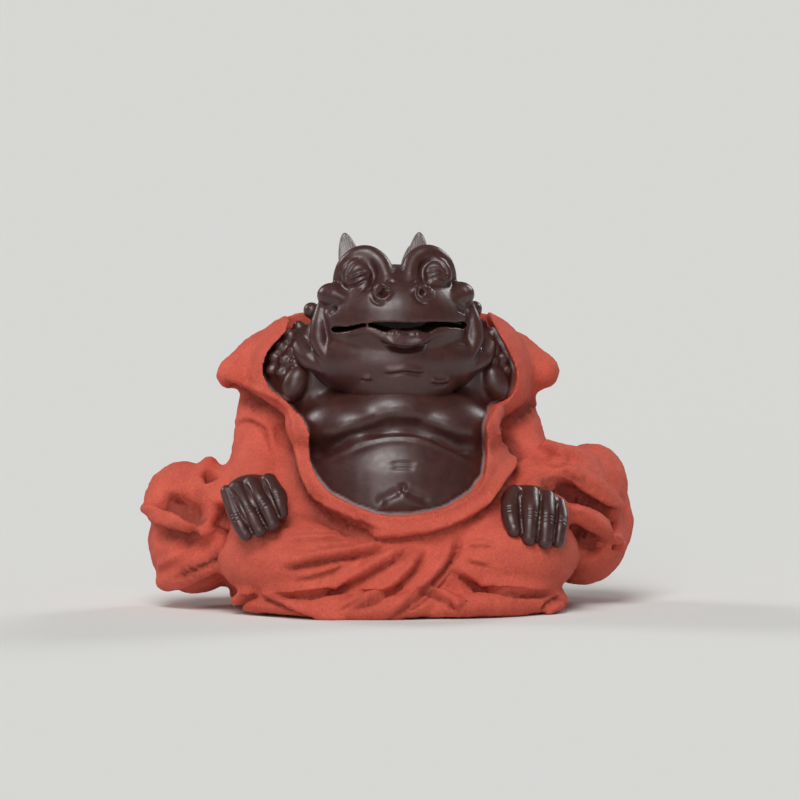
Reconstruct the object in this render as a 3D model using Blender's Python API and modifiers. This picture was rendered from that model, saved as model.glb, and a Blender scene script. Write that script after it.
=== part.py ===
"""Tea pet of two unglazed clays: a seated toad with a smooth dark body, wrapped in a rough red robe.

The toad faces -Y, +Z is up, and the origin is the middle of the flat base.
The figure is four pieces of clay that are luted together and fired as one:
the toad, its robe and its two hands. They are solid here, and the base shows the mouth of the vent.
Every size and place below is in millimetres. The finished meshes are in metres.
A place of something that comes in pairs is the one on the toad's left, at +X.
"""

import math

import bmesh
import bpy
import numpy as np
from mathutils import Euler, Matrix, Vector
from mathutils.bvhtree import BVHTree

METRES = 0.001

# Body of the toad
BELLY_AT = (0, -8, 23)
BELLY = (23, 23.4, 20.5)
BREAST_AT = (8.5, -12.5, 37.2)
BREAST = (11.5, 12.6, 7.6)
YOKE_AT = (16, -2, 46.5)
YOKE = (10.5, 11, 11)

# Head of the toad
THROAT_AT = (0, -10, 51)
THROAT = (18.3, 13.6, 9.4)
DEWLAP_AT = (0.4, -14.5, 48.4)
DEWLAP = (12.5, 8.6, 9)
JAW_AT = (0, -11, 54)
JAW = (14.4, 11.8, 6)
JOWL_AT = (11.5, -8.5, 54)
JOWL = (7, 6.5, 6.6)
SKULL_AT = (0, -4, 60.5)
SKULL = (14.6, 13.5, 9)
NAPE_AT = (0, 6, 56)
NAPE = (12.5, 12, 10.5)
MUZZLE_AT = (0, -10.2, 58.4)
MUZZLE = (15.6, 14.3, 11.6)

# Eyes, and the hoods round them from the outer corner over the top to the bridge of the nose
EYE_AT = (7.7, -14.6, 67.8)
EYE = (3.2, 3.4, 3.5)
EYE_TURN = 20
HOOD = (
    (11.6, -10.5, 64.6),
    (11.2, -11.5, 68),
    (9.4, -12.2, 70.9),
    (6.3, -12.8, 72.2),
    (3.8, -13.8, 70.9),
    (2.6, -15.8, 68.8),
    (2.3, -18.2, 66.6),
)
HOOD_RADII = (1, 1.5, 1.9, 2.1, 2.2, 2, 1.5)
SOCKET = (
    (9.9, 71),
    (7.4, 71.5),
    (5.4, 70.4),
    (4.6, 68.9),
    (5.1, 67.2),
    (6.9, 65.2),
    (9, 64.4),
    (10.9, 65.9),
)
EYELID_WRINKLES = (
    ((10.9, 67.6), (9.1, 68.9), (7.1, 69.5), (5.4, 69.3)),
    ((10.6, 66.7), (8.9, 67.7), (7.2, 68.4), (5.6, 68.3)),
    ((10.3, 65.9), (8.4, 66.6), (6.9, 67.2), (5.7, 67.3)),
)
WRINKLE_WIDTH = 0.4
WRINKLE_DEPTH = 0.45

# Nostrils
NOSTRIL_AT = (4.1, -20.7, 65)
NOSTRIL = (2, 1.5, 1.9)
NOSTRIL_RING = 1.6
NOSTRIL_HOLE = 0.7
NOSTRIL_DEPTH = 0.9

# Mouth, chin and throat
UPPER_LIP = (
    (-13.6, 57.5),
    (-10.7, 58.1),
    (-7.7, 58.9),
    (-3.9, 59.2),
    (1.8, 59.1),
    (7.3, 59.1),
    (10.7, 58.8),
    (14, 58.2),
)
LOWER_LIP = (
    (14, 57.6),
    (10.7, 57.8),
    (7.9, 58),
    (5.2, 57),
    (1.4, 56.5),
    (-1.5, 56.8),
    (-4.2, 57.5),
    (-5.6, 58.1),
    (-7.6, 58.2),
    (-9.6, 57.5),
    (-11.5, 57),
    (-13.4, 57),
)
MOUTH_FRONT_Y = -44
MOUTH_DEPTH_Y = -11
CHIN_CREASE = ((-5, 54.9), (-2, 54.4), (1, 54.3), (5.6, 55.1))
CHIN_DEPTH = 0.8
THROAT_LINE = ((5, 47.4), (8, 47.2), (10, 46.8))
THROAT_LINE_DEPTH = 0.25

# Cheeks, jaws and temples
CHEEK_AT = (13, -13, 64)
CHEEK = (3.1, 3, 2.6)
CHEEK_TAIL = ((12.6, -14.6, 63.8), (9.8, -18, 62.8))
CHEEK_TAIL_RADII = (2.2, 1.1)
INNER_JAW = ((15, -12.4, 61.2), (15.6, -13.6, 58.2), (15.8, -14.6, 55), (14.7, -16.8, 51.8))
INNER_JAW_RADII = (1.4, 1.9, 2, 1.2)
OUTER_JAW = ((19.4, -6.5, 55), (18.9, -10, 53), (17.5, -13, 51), (15, -15.8, 49.2))
OUTER_JAW_RADII = (1.2, 2.2, 2.2, 1.2)
TEMPLE_AT = (16.6, -8, 60.6)
TEMPLE = (1.7, 2, 1.7)

# Crest of three leaf-shaped fins behind each eye: x, y and z of the middle, half height and half width
FINS = ((7, 6.8, 69.9, 6.1, 2.3), (6.2, 12.6, 67, 6, 2.3), (6, 17.5, 63, 5.6, 2.2))
FIN_POINT = 0.25
FIN_THICKNESS = 2
FIN_LEAN = -33
FIN_SPLAY = 8

# Warts on the shoulders, as seen from the front: x, z and radius
WARTS = (
    (18.6, 57, 1.5),
    (20.6, 55.2, 1.9),
    (18.9, 54, 1.2),
    (22.6, 53.2, 1.5),
    (20.6, 52.4, 1.6),
    (24, 51, 1.6),
    (22.3, 50.6, 1.5),
    (20.4, 50.2, 1.1),
    (24.8, 48.4, 1.4),
    (23.2, 48.2, 1.2),
)
GLAND_AT = (20.4, -11.6, 46)
GLAND = (2.6, 2.6, 3.9)
GLAND_TURN = 25

# Creases of the belly
BREAST_CREASE = (
    (18, 31.6),
    (14, 32.1),
    (9.5, 34.1),
    (5, 35.9),
    (0, 36.7),
    (-5, 35.9),
    (-10, 33.8),
    (-15, 32.1),
    (-19, 31.8),
)
BREAST_CREASE_WIDTH = 1.2
BREAST_CREASE_DEPTH = 0.9
NAVEL = ((-0.6, 27.3), (-0.6, 26.2), (-0.6, 24.9))
NAVEL_WIDTH = 0.5
NAVEL_FOLDS = (((-0.6, 25.2), (-3.8, 24.2), (-6.6, 22.8)), ((-0.6, 25.2), (2.9, 24.3), (5.4, 23)))
NAVEL_DEPTH = 0.8
BELLY_LINES = (((-3.8, 31), (-0.5, 31.3), (2.6, 31.2)), ((-3.4, 30), (-0.4, 30.3), (2.2, 30.2)))
BELLY_LINE_DEPTH = 0.3

# Large forms of the robe
CLOTH = 2.8
SEAT_AT = (0, 2, 8.5)
SEAT = (35, 34, 14)
BACK_AT = (0, 8, 31)
BACK = (29, 27, 27.5)
KNEE_AT = (18.5, -17, 11.5)
KNEE = (18.5, 18, 10.5)
LAP_AT = (0, -18.5, 8.5)
LAP = (24, 17.5, 11)
CAPE = ((11, 8, 52.5), (19, 5, 51.8), (26, 2, 49.5), (31.4, -0.5, 47.2))
CAPE_RADII = (6.8, 6.2, 5.6, 3.8)
ARM = ((23.5, 1, 40), (25.5, -3, 31), (28, -12, 24), (29, -20, 20))
ARM_RADII = (7.2, 7, 6.6, 5.6)

# Sleeve that hangs beside the toad's right knee
RIGHT_SLEEVE_BALLS = (
    ((-41.5, 1, 21.5), (7.5, 9, 8)),
    ((-39.5, 0, 13), (9.5, 12, 10.5)),
    ((-33, -5, 21), (8, 9, 8)),
)
RIGHT_SLEEVE_ROLLS = (
    (
        ((-46.3, 2, 25), (-48, -3, 20.5), (-45.5, -8, 17.5), (-40, -12, 17), (-34, -13, 17.5)),
        (2.4, 2.4, 2.4, 2.6, 2.2),
    ),
    (((-45.8, -3, 5.5), (-42, -10, 7.5), (-37, -13.5, 10.5), (-32, -14, 14.5)), (2.4, 2.6, 2.4, 1.8)),
    (((-37, -3, 29), (-38, -8, 25.5), (-34, -12, 22)), (2, 2.2, 1.8)),
)
RIGHT_SLEEVE_MOUTH = ((-56, -14, 10.5), (-47, -12, 12), (-39, -13, 13.6))
RIGHT_SLEEVE_MOUTH_RADII = (4.5, 3.2, 1.2)

# Sleeve that hangs beside the toad's left knee
LEFT_SLEEVE_BALLS = (
    ((42, 3, 23.8), (7.5, 9, 8.4)),
    ((39.5, 0, 13), (9.5, 12, 9.5)),
    ((35.5, -3.5, 24), (9, 10, 8.5)),
)
LEFT_SLEEVE_ROLLS = (
    (((47, 2, 22), (47.8, 0, 16), (46, -3, 10.5)), (2.4, 2.7, 2.4)),
    (((28, -15, 27.6), (35, -14.5, 27), (41, -11.5, 24), (46, -6, 20)), (2.2, 2.6, 2.5, 2)),
    (((33, -17, 20.5), (38, -15.5, 18.8), (43, -11.5, 15.5), (46.3, -8, 11.5)), (2, 2.5, 2.4, 1.6)),
    (((31, -13, 34), (37, -10, 31.4), (41, -5, 30)), (1.6, 2, 1.8)),
)
LEFT_SLEEVE_MOUTH = ((54, -12, 12), (48, -10, 12.3), (42, -10, 13))
LEFT_SLEEVE_MOUTH_RADII = (2, 1.5, 0.9)

# Hem of the robe on the ground
HEM_ROLLS = (
    (
        ((-31, -21, 2.6), (-24, -29, 3), (-15, -34, 2.4), (-4, -36, 2.2), (3, -36, 3), (7, -34.5, 4.6)),
        (2.4, 2.6, 2.6, 2.6, 2.2, 1.4),
    ),
    (((1, -35, 1.8), (12, -35.5, 2.6), (22, -31.5, 2.6), (32, -23.5, 2.4)), (1.8, 2.6, 2.8, 2.2)),
)

# Opening of the robe, as seen from the front
OPENING = (
    (-26.4, 50.4),
    (-25.6, 45.3),
    (-21.5, 41.5),
    (-19.5, 38.9),
    (-18.6, 34),
    (-18.3, 30.1),
    (-15.9, 25.8),
    (-12.1, 23.3),
    (-3.2, 20.6),
    (3, 20.6),
    (8.2, 21.8),
    (14.9, 25.7),
    (17, 30.1),
    (17.4, 35),
    (17.2, 37.9),
    (19.2, 40.7),
    (23.8, 43.4),
    (24.8, 48.3),
    (23.2, 52.3),
    (20.5, 58),
    (18, 70),
    (-18, 70),
    (-21, 58),
)
OPENING_FRONT_Y = -70
OPENING_BACK_Y = 2

# Lapels: the band of cloth round the opening, and the crease outside it
COLLAR = (
    (-34, 48),
    (-31.5, 43.4),
    (-27.4, 40),
    (-23.4, 36),
    (-22.6, 31),
    (-21, 26),
    (-17, 22),
    (-11.5, 18.9),
    (-4, 17),
    (3, 16.8),
    (10, 18.4),
    (16, 22),
    (19.8, 26.5),
    (20.8, 31),
    (20.8, 35),
    (24.5, 38.6),
    (30, 42),
    (33.5, 46),
)
COLLAR_WIDTH = 2.2
COLLAR_LIFT = 1.4

# Folds over the lap and knees, as seen from the front, each with its crease below it
LAP_FOLDS = (
    ((-24.5, 15.8), (-20, 16.6), (-17.2, 16.6)),
    ((-26.2, 11), (-17.2, 12.6), (-12.4, 13.8), (-8.4, 13.8)),
    ((-25.4, 6.8), (-19.2, 8.5), (-14, 10.6)),
    ((-31, 6.3), (-26.2, 5.2), (-19.2, 4.8), (-13.2, 6), (-8.4, 8.7), (-4.7, 12.2), (-2.6, 15)),
    ((-12.4, 2.8), (-8.4, 4.2), (-4.3, 6.7), (-1.6, 9)),
    ((-6.5, 3.8), (-3.2, 6.5), (-0.8, 9.7), (1.2, 13), (2, 15.5)),
    ((-5.7, 0.5), (-0.8, 2.6), (3.6, 6.5), (6.8, 10.1), (9.3, 13.8), (11.7, 17.7)),
    ((9.3, 9.7), (13.8, 7.7), (17, 6.5), (22.6, 4.8), (28.7, 4.4)),
    ((4.8, 6.9), (8.4, 5), (12.9, 4.6), (18.7, 4.2)),
)
ARM_FOLDS = (
    ((-30, 34.5), (-26.5, 35.4), (-24, 32), (-23.4, 27.5)),
    ((-31, 28), (-28, 30.4), (-26, 29)),
    ((22.5, 37.6), (24.5, 38.6), (28, 39.8), (31.5, 40.6)),
    ((28, 32), (31, 34.6)),
)
FOLD_WIDTH = 1.4
FOLD_LIFT = 0.9

# Folds down the back, as seen from the front
BACK_FOLDS = (
    ((-24, 44), (-18, 30), (-20, 16)),
    ((-10, 52), (-7, 34), (-11, 14)),
    ((6, 53), (9, 36), (5, 16)),
    ((20, 47), (19, 32), (24, 16)),
)
BACK_FOLD_WIDTH = 2.4
BACK_FOLD_LIFT = 1.1

# Hands: the palm's place, radii and turn, and the path and radii of each finger from knuckle to tip
RIGHT_PALM = ((-29.6, -23.3, 24), (6.4, 5.5, 4.6), (0, 10, 0))
RIGHT_FINGERS = (
    (((-35.8, -25.3, 25.3), (-34.8, -28.5, 21.6), (-33.7, -31, 18.6), (-32.8, -31.5, 17.2)), (1.3, 1.4, 1.3, 1.2)),
    (((-33.9, -26, 26.1), (-32.6, -29.5, 22.8), (-31.3, -31.5, 20.2), (-30, -32, 18)), (1.4, 1.5, 1.35, 1.25)),
    (((-31, -26, 27), (-29.9, -30, 24), (-28.3, -31.5, 21.5), (-27.4, -32, 19.3)), (1.5, 1.6, 1.45, 1.35)),
    (((-27.4, -25.5, 27.2), (-26.4, -29, 24.9), (-25.9, -30.5, 22.9), (-25.6, -30.5, 21.4)), (1.7, 1.8, 1.6, 1.4)),
)
LEFT_PALM = ((26.6, -23.3, 21.2), (7, 5.5, 4.6), (0, 14, 0))
LEFT_FINGERS = (
    (((22.6, -26, 24.4), (21.4, -29, 21.5), (21.3, -31.5, 19.2), (21.7, -32.5, 17.6)), (1.7, 1.9, 1.7, 1.4)),
    (((25.8, -26.5, 24.4), (25.3, -30.5, 21.4), (24.9, -32.5, 18.3), (24.7, -33, 16)), (1.6, 1.75, 1.6, 1.45)),
    (((29.2, -26, 23.5), (28.6, -30, 20.5), (28.2, -32, 17.6), (28, -32.5, 15.2)), (1.5, 1.6, 1.5, 1.35)),
    (((31.8, -24.5, 22), (31.8, -28, 19.5), (31.2, -30.5, 17.3), (30.8, -31, 15.1)), (1.3, 1.4, 1.3, 1.2)),
)

# Fit between the pieces, and the mouth of the vent in the base
CLEARANCE = 0.3
VENT_AT = (0, 13)
VENT_RADIUS = 1.6
VENT_DEPTH = 6

# Fineness of the clay
TOAD_VOXEL = 0.6
ROBE_VOXEL = 0.9
HAND_VOXEL = 0.45
TOAD_FACES = 5200
ROBE_FACES = 4000
HAND_FACES = 560

# Fired clays: sRGB colour and roughness
DARK_CLAY = ((0.30, 0.18, 0.17), 0.38)
RED_CLAY = ((0.80, 0.29, 0.21), 0.85)


def press_ball(clay, at, radii, turn=(0, 0, 0), point=0.0):
    """Presses an egg-shaped lump into the clay, turned in degrees. point draws its top out to a tip."""
    angles = Euler([math.radians(angle) for angle in turn])
    made = bmesh.ops.create_uvsphere(clay, u_segments=32, v_segments=16, radius=1.0)
    for vertex in made["verts"]:
        rise = max(0.0, vertex.co.z)
        vertex.co.x *= 1 - point * rise
        vertex.co.y *= 1 - point * rise
    matrix = Matrix.Translation(at) @ angles.to_matrix().to_4x4() @ Matrix.Diagonal((*radii, 1.0))
    bmesh.ops.transform(clay, matrix=matrix, verts=made["verts"])


def press_roll(clay, path, radii):
    """Lays a tapering roll of clay along a smooth path, with round ends."""
    curve = bpy.data.curves.new("roll", "CURVE")
    curve.dimensions = "3D"
    curve.bevel_depth = 1.0
    curve.bevel_resolution = 3
    curve.resolution_u = 6
    curve.use_fill_caps = True
    spline = curve.splines.new("BEZIER")
    spline.bezier_points.add(len(path) - 1)
    for knot, place, radius in zip(spline.bezier_points, path, radii):
        knot.co = place
        knot.radius = radius
        knot.handle_left_type = "AUTO"
        knot.handle_right_type = "AUTO"
    clay.from_mesh(mesh_of_curve(curve))
    for place, radius in ((path[0], radii[0]), (path[-1], radii[-1])):
        press_ball(clay, place, (radius, radius, radius))


def mesh_of_curve(curve):
    """The curve's surface as a mesh. The curve is used up."""
    guide = bpy.data.objects.new("guide", curve)
    mesh = bpy.data.meshes.new_from_object(guide)
    bpy.data.objects.remove(guide)
    bpy.data.curves.remove(curve)
    return mesh


def prism(outline, front_y, back_y):
    """A smooth closed outline, given as seen from the front, run from front_y to back_y."""
    curve = bpy.data.curves.new("outline", "CURVE")
    curve.dimensions = "2D"
    curve.fill_mode = "BOTH"
    curve.extrude = (back_y - front_y) / 2
    curve.resolution_u = 3
    spline = curve.splines.new("BEZIER")
    spline.use_cyclic_u = True
    spline.bezier_points.add(len(outline) - 1)
    for knot, (x, z) in zip(spline.bezier_points, outline):
        knot.co = (x, z, 0)
        knot.handle_left_type = "AUTO"
        knot.handle_right_type = "AUTO"
    mesh = mesh_of_curve(curve)
    upright = Matrix.Rotation(math.radians(90), 4, "X")
    mesh.transform(Matrix.Translation((0, (front_y + back_y) / 2, 0)) @ upright)
    clay = bmesh.new()
    clay.from_mesh(mesh)
    bmesh.ops.remove_doubles(clay, verts=clay.verts, dist=0.0001)
    bmesh.ops.recalc_face_normals(clay, faces=clay.faces)
    clay.to_mesh(mesh)
    clay.free()
    return mesh


def in_scene(name, mesh):
    thing = bpy.data.objects.new(name, mesh)
    bpy.context.scene.collection.objects.link(thing)
    return thing


def settled(thing):
    """The mesh of an object with its modifiers applied. The object is used up."""
    graph = bpy.context.evaluated_depsgraph_get()
    mesh = bpy.data.meshes.new_from_object(thing.evaluated_get(graph))
    bpy.data.objects.remove(thing)
    return mesh


def fused(clay, voxel, softening):
    """One closed skin round every lump in the clay, softened where they meet."""
    mesh = bpy.data.meshes.new("clay")
    clay.to_mesh(mesh)
    clay.free()
    lump = in_scene("lump", mesh)
    remesh = lump.modifiers.new("fuse", "REMESH")
    remesh.mode = "VOXEL"
    remesh.voxel_size = voxel
    soften = lump.modifiers.new("soften", "SMOOTH")
    soften.factor = 0.5
    soften.iterations = softening
    return settled(lump)


def cut(mesh, cutter):
    """The mesh less the cutter, by one exact Boolean."""
    lump = in_scene("lump", mesh)
    tool = in_scene("tool", cutter)
    boolean = lump.modifiers.new("cut", "BOOLEAN")
    boolean.operation = "DIFFERENCE"
    boolean.solver = "EXACT"
    boolean.use_self = True
    boolean.object = tool
    made = settled(lump)
    bpy.data.objects.remove(tool)
    return made


def coarser(mesh, faces):
    """The mesh with about that many triangles."""
    lump = in_scene("lump", mesh)
    decimate = lump.modifiers.new("coarser", "DECIMATE")
    decimate.ratio = min(1.0, faces / (2 * len(mesh.polygons)))
    decimate.use_collapse_triangulate = True
    return settled(lump)


def in_one(mesh):
    """The mesh without the crumbs that a cut has left beside its largest piece."""
    clay = bmesh.new()
    clay.from_mesh(mesh)
    bmesh.ops.triangulate(clay, faces=clay.faces)
    left = set(clay.verts)
    pieces = []
    while left:
        piece = {left.pop()}
        edge_of_piece = list(piece)
        while edge_of_piece:
            vertex = edge_of_piece.pop()
            for edge in vertex.link_edges:
                other = edge.other_vert(vertex)
                if other in left:
                    left.remove(other)
                    piece.add(other)
                    edge_of_piece.append(other)
        pieces.append(piece)
    pieces.sort(key=len)
    for crumb in pieces[:-1]:
        bmesh.ops.delete(clay, geom=list(crumb), context="VERTS")
    clay.to_mesh(mesh)
    clay.free()
    return mesh


def skin(mesh):
    """The vertices' places and normals, as two arrays."""
    mesh.update()
    places = np.empty(len(mesh.vertices) * 3)
    normals = np.empty(len(mesh.vertices) * 3)
    mesh.vertices.foreach_get("co", places)
    mesh.vertices.foreach_get("normal", normals)
    return places.reshape(-1, 3), normals.reshape(-1, 3)


def push(mesh, lift):
    """Moves every vertex out along its normal, by one lift for all or by one for each."""
    places, normals = skin(mesh)
    mesh.vertices.foreach_set("co", (places + normals * np.reshape(lift, (-1, 1))).ravel())
    mesh.update()


def inflated(mesh, by):
    """A copy of the mesh that is larger all round."""
    copy = mesh.copy()
    push(copy, by)
    return copy


def smooth_line(knots, count):
    """count points on a smooth curve through the knots."""
    knots = [Vector(knot) for knot in knots]
    ends = [2 * knots[0] - knots[1], *knots, 2 * knots[-1] - knots[-2]]
    line = []
    for step in range(count):
        where = step / (count - 1) * (len(knots) - 1)
        index = min(int(where), len(knots) - 2)
        t = where - index
        a, b, c, d = ends[index : index + 4]
        pull = (c - a) * t + (2 * a - 5 * b + 4 * c - d) * t**2 + (3 * b - a - 3 * c + d) * t**3
        line.append(b + 0.5 * pull)
    return line


def traced(mesh, knots, side=1, aim=1, count=30):
    """A smooth line through (x, z) knots, laid on the skin as seen along +Y, or along -Y with aim -1."""
    tree = BVHTree.FromPolygons([v.co for v in mesh.vertices], [p.vertices for p in mesh.polygons])
    line = []
    for place in smooth_line([(side * x, 0, z) for x, z in knots], count):
        hit = tree.ray_cast(place - Vector((0, 200 * aim, 0)), Vector((0, aim, 0)))[0]
        line.append(hit or tree.find_nearest(place)[0])
    return line


def beside(places, normals, line):
    """Each vertex's distance from the line, how far it lies to the line's left, and its share along."""
    near = np.full(len(places), np.inf)
    side = np.zeros(len(places))
    share = np.zeros(len(places))
    for index, (start, end) in enumerate(zip(line[:-1], line[1:])):
        start, along = np.array(start), np.array(end - start)
        length = max(np.dot(along, along), 1e-9)
        t = np.clip((places - start) @ along / length, 0, 1)
        away = places - start - t[:, None] * along
        far = np.linalg.norm(away, axis=1)
        closer = far < near
        near[closer] = far[closer]
        leftward = np.cross(normals[closer], along / math.sqrt(length))
        side[closer] = np.einsum("ij,ij->i", away[closer], leftward)
        share[closer] = (index + t[closer]) / (len(line) - 1)
    return near, side, share


def fading(share, ends):
    """1 along a line, falling softly to 0 over its two ends."""
    t = np.clip(np.minimum(share, 1 - share) / ends, 0, 1)
    return t * t * (3 - 2 * t)


def draw(mesh, line, width, lift, ends=0.25):
    """Raises a soft ridge along the line, or with a lift below zero presses a groove."""
    places, normals = skin(mesh)
    near, _, share = beside(places, normals, line)
    push(mesh, lift * np.exp(-((near / width) ** 2)) * fading(share, ends))


def fold(mesh, line, width, lift, ends=0.25):
    """Lifts the skin on the line's left into a rounded fold that drops to a crease on its right."""
    places, normals = skin(mesh)
    near, side, share = beside(places, normals, line)
    side = side / width
    crest = np.exp(-(((side - 0.7) / 0.75) ** 2))
    crease = np.exp(-(((side + 0.35) / 0.4) ** 2))
    weight = (crest - 0.7 * crease) * fading(share, ends)
    weight[near > 3 * width] = 0
    push(mesh, lift * weight)


def on_side(place, side):
    """The place on the toad's left (+1) or right (-1) side."""
    return Vector((side * place[0], place[1], place[2]))


def ring(x, z, radius):
    """Knots on a circle, as seen from the front."""
    angles = [math.radians(step * 30) for step in range(13)]
    return [(x + radius * math.cos(angle), z + radius * math.sin(angle)) for angle in angles]


def toad_masses():
    """The toad's large forms: belly, breast, shoulders, throat, jaw, skull and muzzle."""
    clay = bmesh.new()
    press_ball(clay, BELLY_AT, BELLY)
    press_ball(clay, THROAT_AT, THROAT)
    press_ball(clay, DEWLAP_AT, DEWLAP)
    press_ball(clay, JAW_AT, JAW)
    press_ball(clay, SKULL_AT, SKULL)
    press_ball(clay, NAPE_AT, NAPE)
    press_ball(clay, MUZZLE_AT, MUZZLE)
    for side in (-1, 1):
        press_ball(clay, on_side(BREAST_AT, side), BREAST)
        press_ball(clay, on_side(YOKE_AT, side), YOKE)
        press_ball(clay, on_side(JOWL_AT, side), JOWL)
    return fused(clay, TOAD_VOXEL, 7)


def press_face(clay, side):
    """One side of the face: the closed eye under its hood, nostril, cheek, jaw rolls and temple."""
    press_ball(clay, on_side(EYE_AT, side), EYE, (0, side * EYE_TURN, 0))
    press_roll(clay, [on_side(place, side) for place in HOOD], HOOD_RADII)
    press_ball(clay, on_side(NOSTRIL_AT, side), NOSTRIL)
    press_ball(clay, on_side(CHEEK_AT, side), CHEEK)
    press_roll(clay, [on_side(place, side) for place in CHEEK_TAIL], CHEEK_TAIL_RADII)
    press_roll(clay, [on_side(place, side) for place in INNER_JAW], INNER_JAW_RADII)
    press_roll(clay, [on_side(place, side) for place in OUTER_JAW], OUTER_JAW_RADII)
    press_ball(clay, on_side(TEMPLE_AT, side), TEMPLE)


def press_crest(clay, side):
    for x, y, z, half_height, half_width in FINS:
        radii = (half_width, FIN_THICKNESS / 2, half_height)
        press_ball(clay, on_side((x, y, z), side), radii, (FIN_LEAN, side * FIN_SPLAY, 0), FIN_POINT)


def press_warts(clay, masses, side):
    for x, z, radius in WARTS:
        on_skin = traced(masses, [(x, z), (x + 0.1, z)], side, count=2)[0]
        press_ball(clay, on_skin, (radius, radius, radius))
    press_ball(clay, on_side(GLAND_AT, side), GLAND, (0, -side * GLAND_TURN, 0))


def carve_toad(mesh):
    """The creases of the eyes, nose, mouth, throat and belly."""
    for side in (-1, 1):
        draw(mesh, traced(mesh, SOCKET, side), WRINKLE_WIDTH, -WRINKLE_DEPTH, 0.1)
        for wrinkle in EYELID_WRINKLES:
            draw(mesh, traced(mesh, wrinkle, side), WRINKLE_WIDTH, -WRINKLE_DEPTH)
        x, _, z = NOSTRIL_AT
        draw(mesh, traced(mesh, ring(x, z, NOSTRIL_RING), side), WRINKLE_WIDTH, WRINKLE_DEPTH, 0.05)
        draw(mesh, traced(mesh, ring(x, z, NOSTRIL_HOLE / 2), side), NOSTRIL_HOLE, -NOSTRIL_DEPTH, 0.01)
    draw(mesh, traced(mesh, CHIN_CREASE), CHIN_DEPTH, -CHIN_DEPTH)
    draw(mesh, traced(mesh, THROAT_LINE), WRINKLE_WIDTH, -THROAT_LINE_DEPTH)
    fold(mesh, traced(mesh, BREAST_CREASE), BREAST_CREASE_WIDTH, BREAST_CREASE_DEPTH, 0.1)
    draw(mesh, traced(mesh, NAVEL), NAVEL_WIDTH, -NAVEL_DEPTH)
    for crease in NAVEL_FOLDS:
        draw(mesh, traced(mesh, crease), 2 * NAVEL_WIDTH, -NAVEL_DEPTH)
    for crease in BELLY_LINES:
        draw(mesh, traced(mesh, crease), WRINKLE_WIDTH, -BELLY_LINE_DEPTH)


def solid_toad():
    masses = toad_masses()
    clay = bmesh.new()
    for side in (-1, 1):
        press_face(clay, side)
        press_crest(clay, side)
        press_warts(clay, masses, side)
    clay.from_mesh(masses)
    mesh = fused(clay, TOAD_VOXEL, 2)
    carve_toad(mesh)
    return coarser(mesh, TOAD_FACES)


def grown(radii, by):
    return [radius + by for radius in radii]


def robe_masses():
    """The robe's large forms, over the toad's own: seat, back, knees, lap, cape, arms, sleeves and hem."""
    clay = bmesh.new()
    press_ball(clay, SEAT_AT, SEAT)
    press_ball(clay, BACK_AT, BACK)
    press_ball(clay, LAP_AT, LAP)
    press_ball(clay, BELLY_AT, grown(BELLY, CLOTH))
    for side in (-1, 1):
        press_ball(clay, on_side(KNEE_AT, side), KNEE)
        press_ball(clay, on_side(YOKE_AT, side), grown(YOKE, CLOTH))
        press_ball(clay, on_side(BREAST_AT, side), grown(BREAST, CLOTH))
        press_roll(clay, [on_side(place, side) for place in CAPE], CAPE_RADII)
        press_roll(clay, [on_side(place, side) for place in ARM], ARM_RADII)
    for at, radii in RIGHT_SLEEVE_BALLS + LEFT_SLEEVE_BALLS:
        press_ball(clay, at, radii)
    for path, radii in RIGHT_SLEEVE_ROLLS + LEFT_SLEEVE_ROLLS + HEM_ROLLS:
        press_roll(clay, path, radii)
    return fused(clay, ROBE_VOXEL, 4)


def sleeve_mouths():
    clay = bmesh.new()
    press_roll(clay, RIGHT_SLEEVE_MOUTH, RIGHT_SLEEVE_MOUTH_RADII)
    press_roll(clay, LEFT_SLEEVE_MOUTH, LEFT_SLEEVE_MOUTH_RADII)
    return fused(clay, HAND_VOXEL, 1)


def solid_robe():
    clay = bmesh.new()
    clay.from_mesh(cut(robe_masses(), sleeve_mouths()))
    mesh = fused(clay, ROBE_VOXEL, 1)
    fold(mesh, traced(mesh, COLLAR, count=60), COLLAR_WIDTH, COLLAR_LIFT, 0.05)
    for line in LAP_FOLDS + ARM_FOLDS:
        fold(mesh, traced(mesh, line), FOLD_WIDTH, FOLD_LIFT)
    for line in BACK_FOLDS:
        fold(mesh, traced(mesh, line, aim=-1), BACK_FOLD_WIDTH, BACK_FOLD_LIFT)
    return coarser(mesh, ROBE_FACES)


def solid_hand(palm, fingers):
    clay = bmesh.new()
    press_ball(clay, *palm)
    for path, radii in fingers:
        press_roll(clay, path, radii)
    return coarser(fused(clay, HAND_VOXEL, 2), HAND_FACES)


def ground():
    """A block whose top is the ground."""
    mesh = bpy.data.meshes.new("ground")
    clay = bmesh.new()
    matrix = Matrix.Translation((0, 0, -100)) @ Matrix.Diagonal((400, 400, 200, 1))
    bmesh.ops.create_cube(clay, size=1.0, matrix=matrix)
    clay.to_mesh(mesh)
    clay.free()
    return mesh


def vent():
    mesh = bpy.data.meshes.new("vent")
    clay = bmesh.new()
    bmesh.ops.create_cone(
        clay,
        cap_ends=True,
        segments=24,
        radius1=VENT_RADIUS,
        radius2=VENT_RADIUS,
        depth=2 * VENT_DEPTH,
        matrix=Matrix.Translation((*VENT_AT, 0)),
    )
    clay.to_mesh(mesh)
    clay.free()
    return mesh


def fired(name, mesh, clay_body, collection):
    """The finished piece, in metres, with its material, in the collection."""
    mesh.transform(Matrix.Scale(METRES, 4))
    mesh.name = name
    mesh.materials.clear()
    colour, roughness = clay_body
    material = bpy.data.materials.new(name)
    material.use_nodes = True
    shader = material.node_tree.nodes["Principled BSDF"]
    linear = [channel**2.2 for channel in colour]
    shader.inputs["Base Color"].default_value = (*linear, 1.0)
    shader.inputs["Roughness"].default_value = roughness
    shader.inputs["Metallic"].default_value = 0.0
    mesh.materials.append(material)
    collection.objects.link(bpy.data.objects.new(name, mesh))


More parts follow.
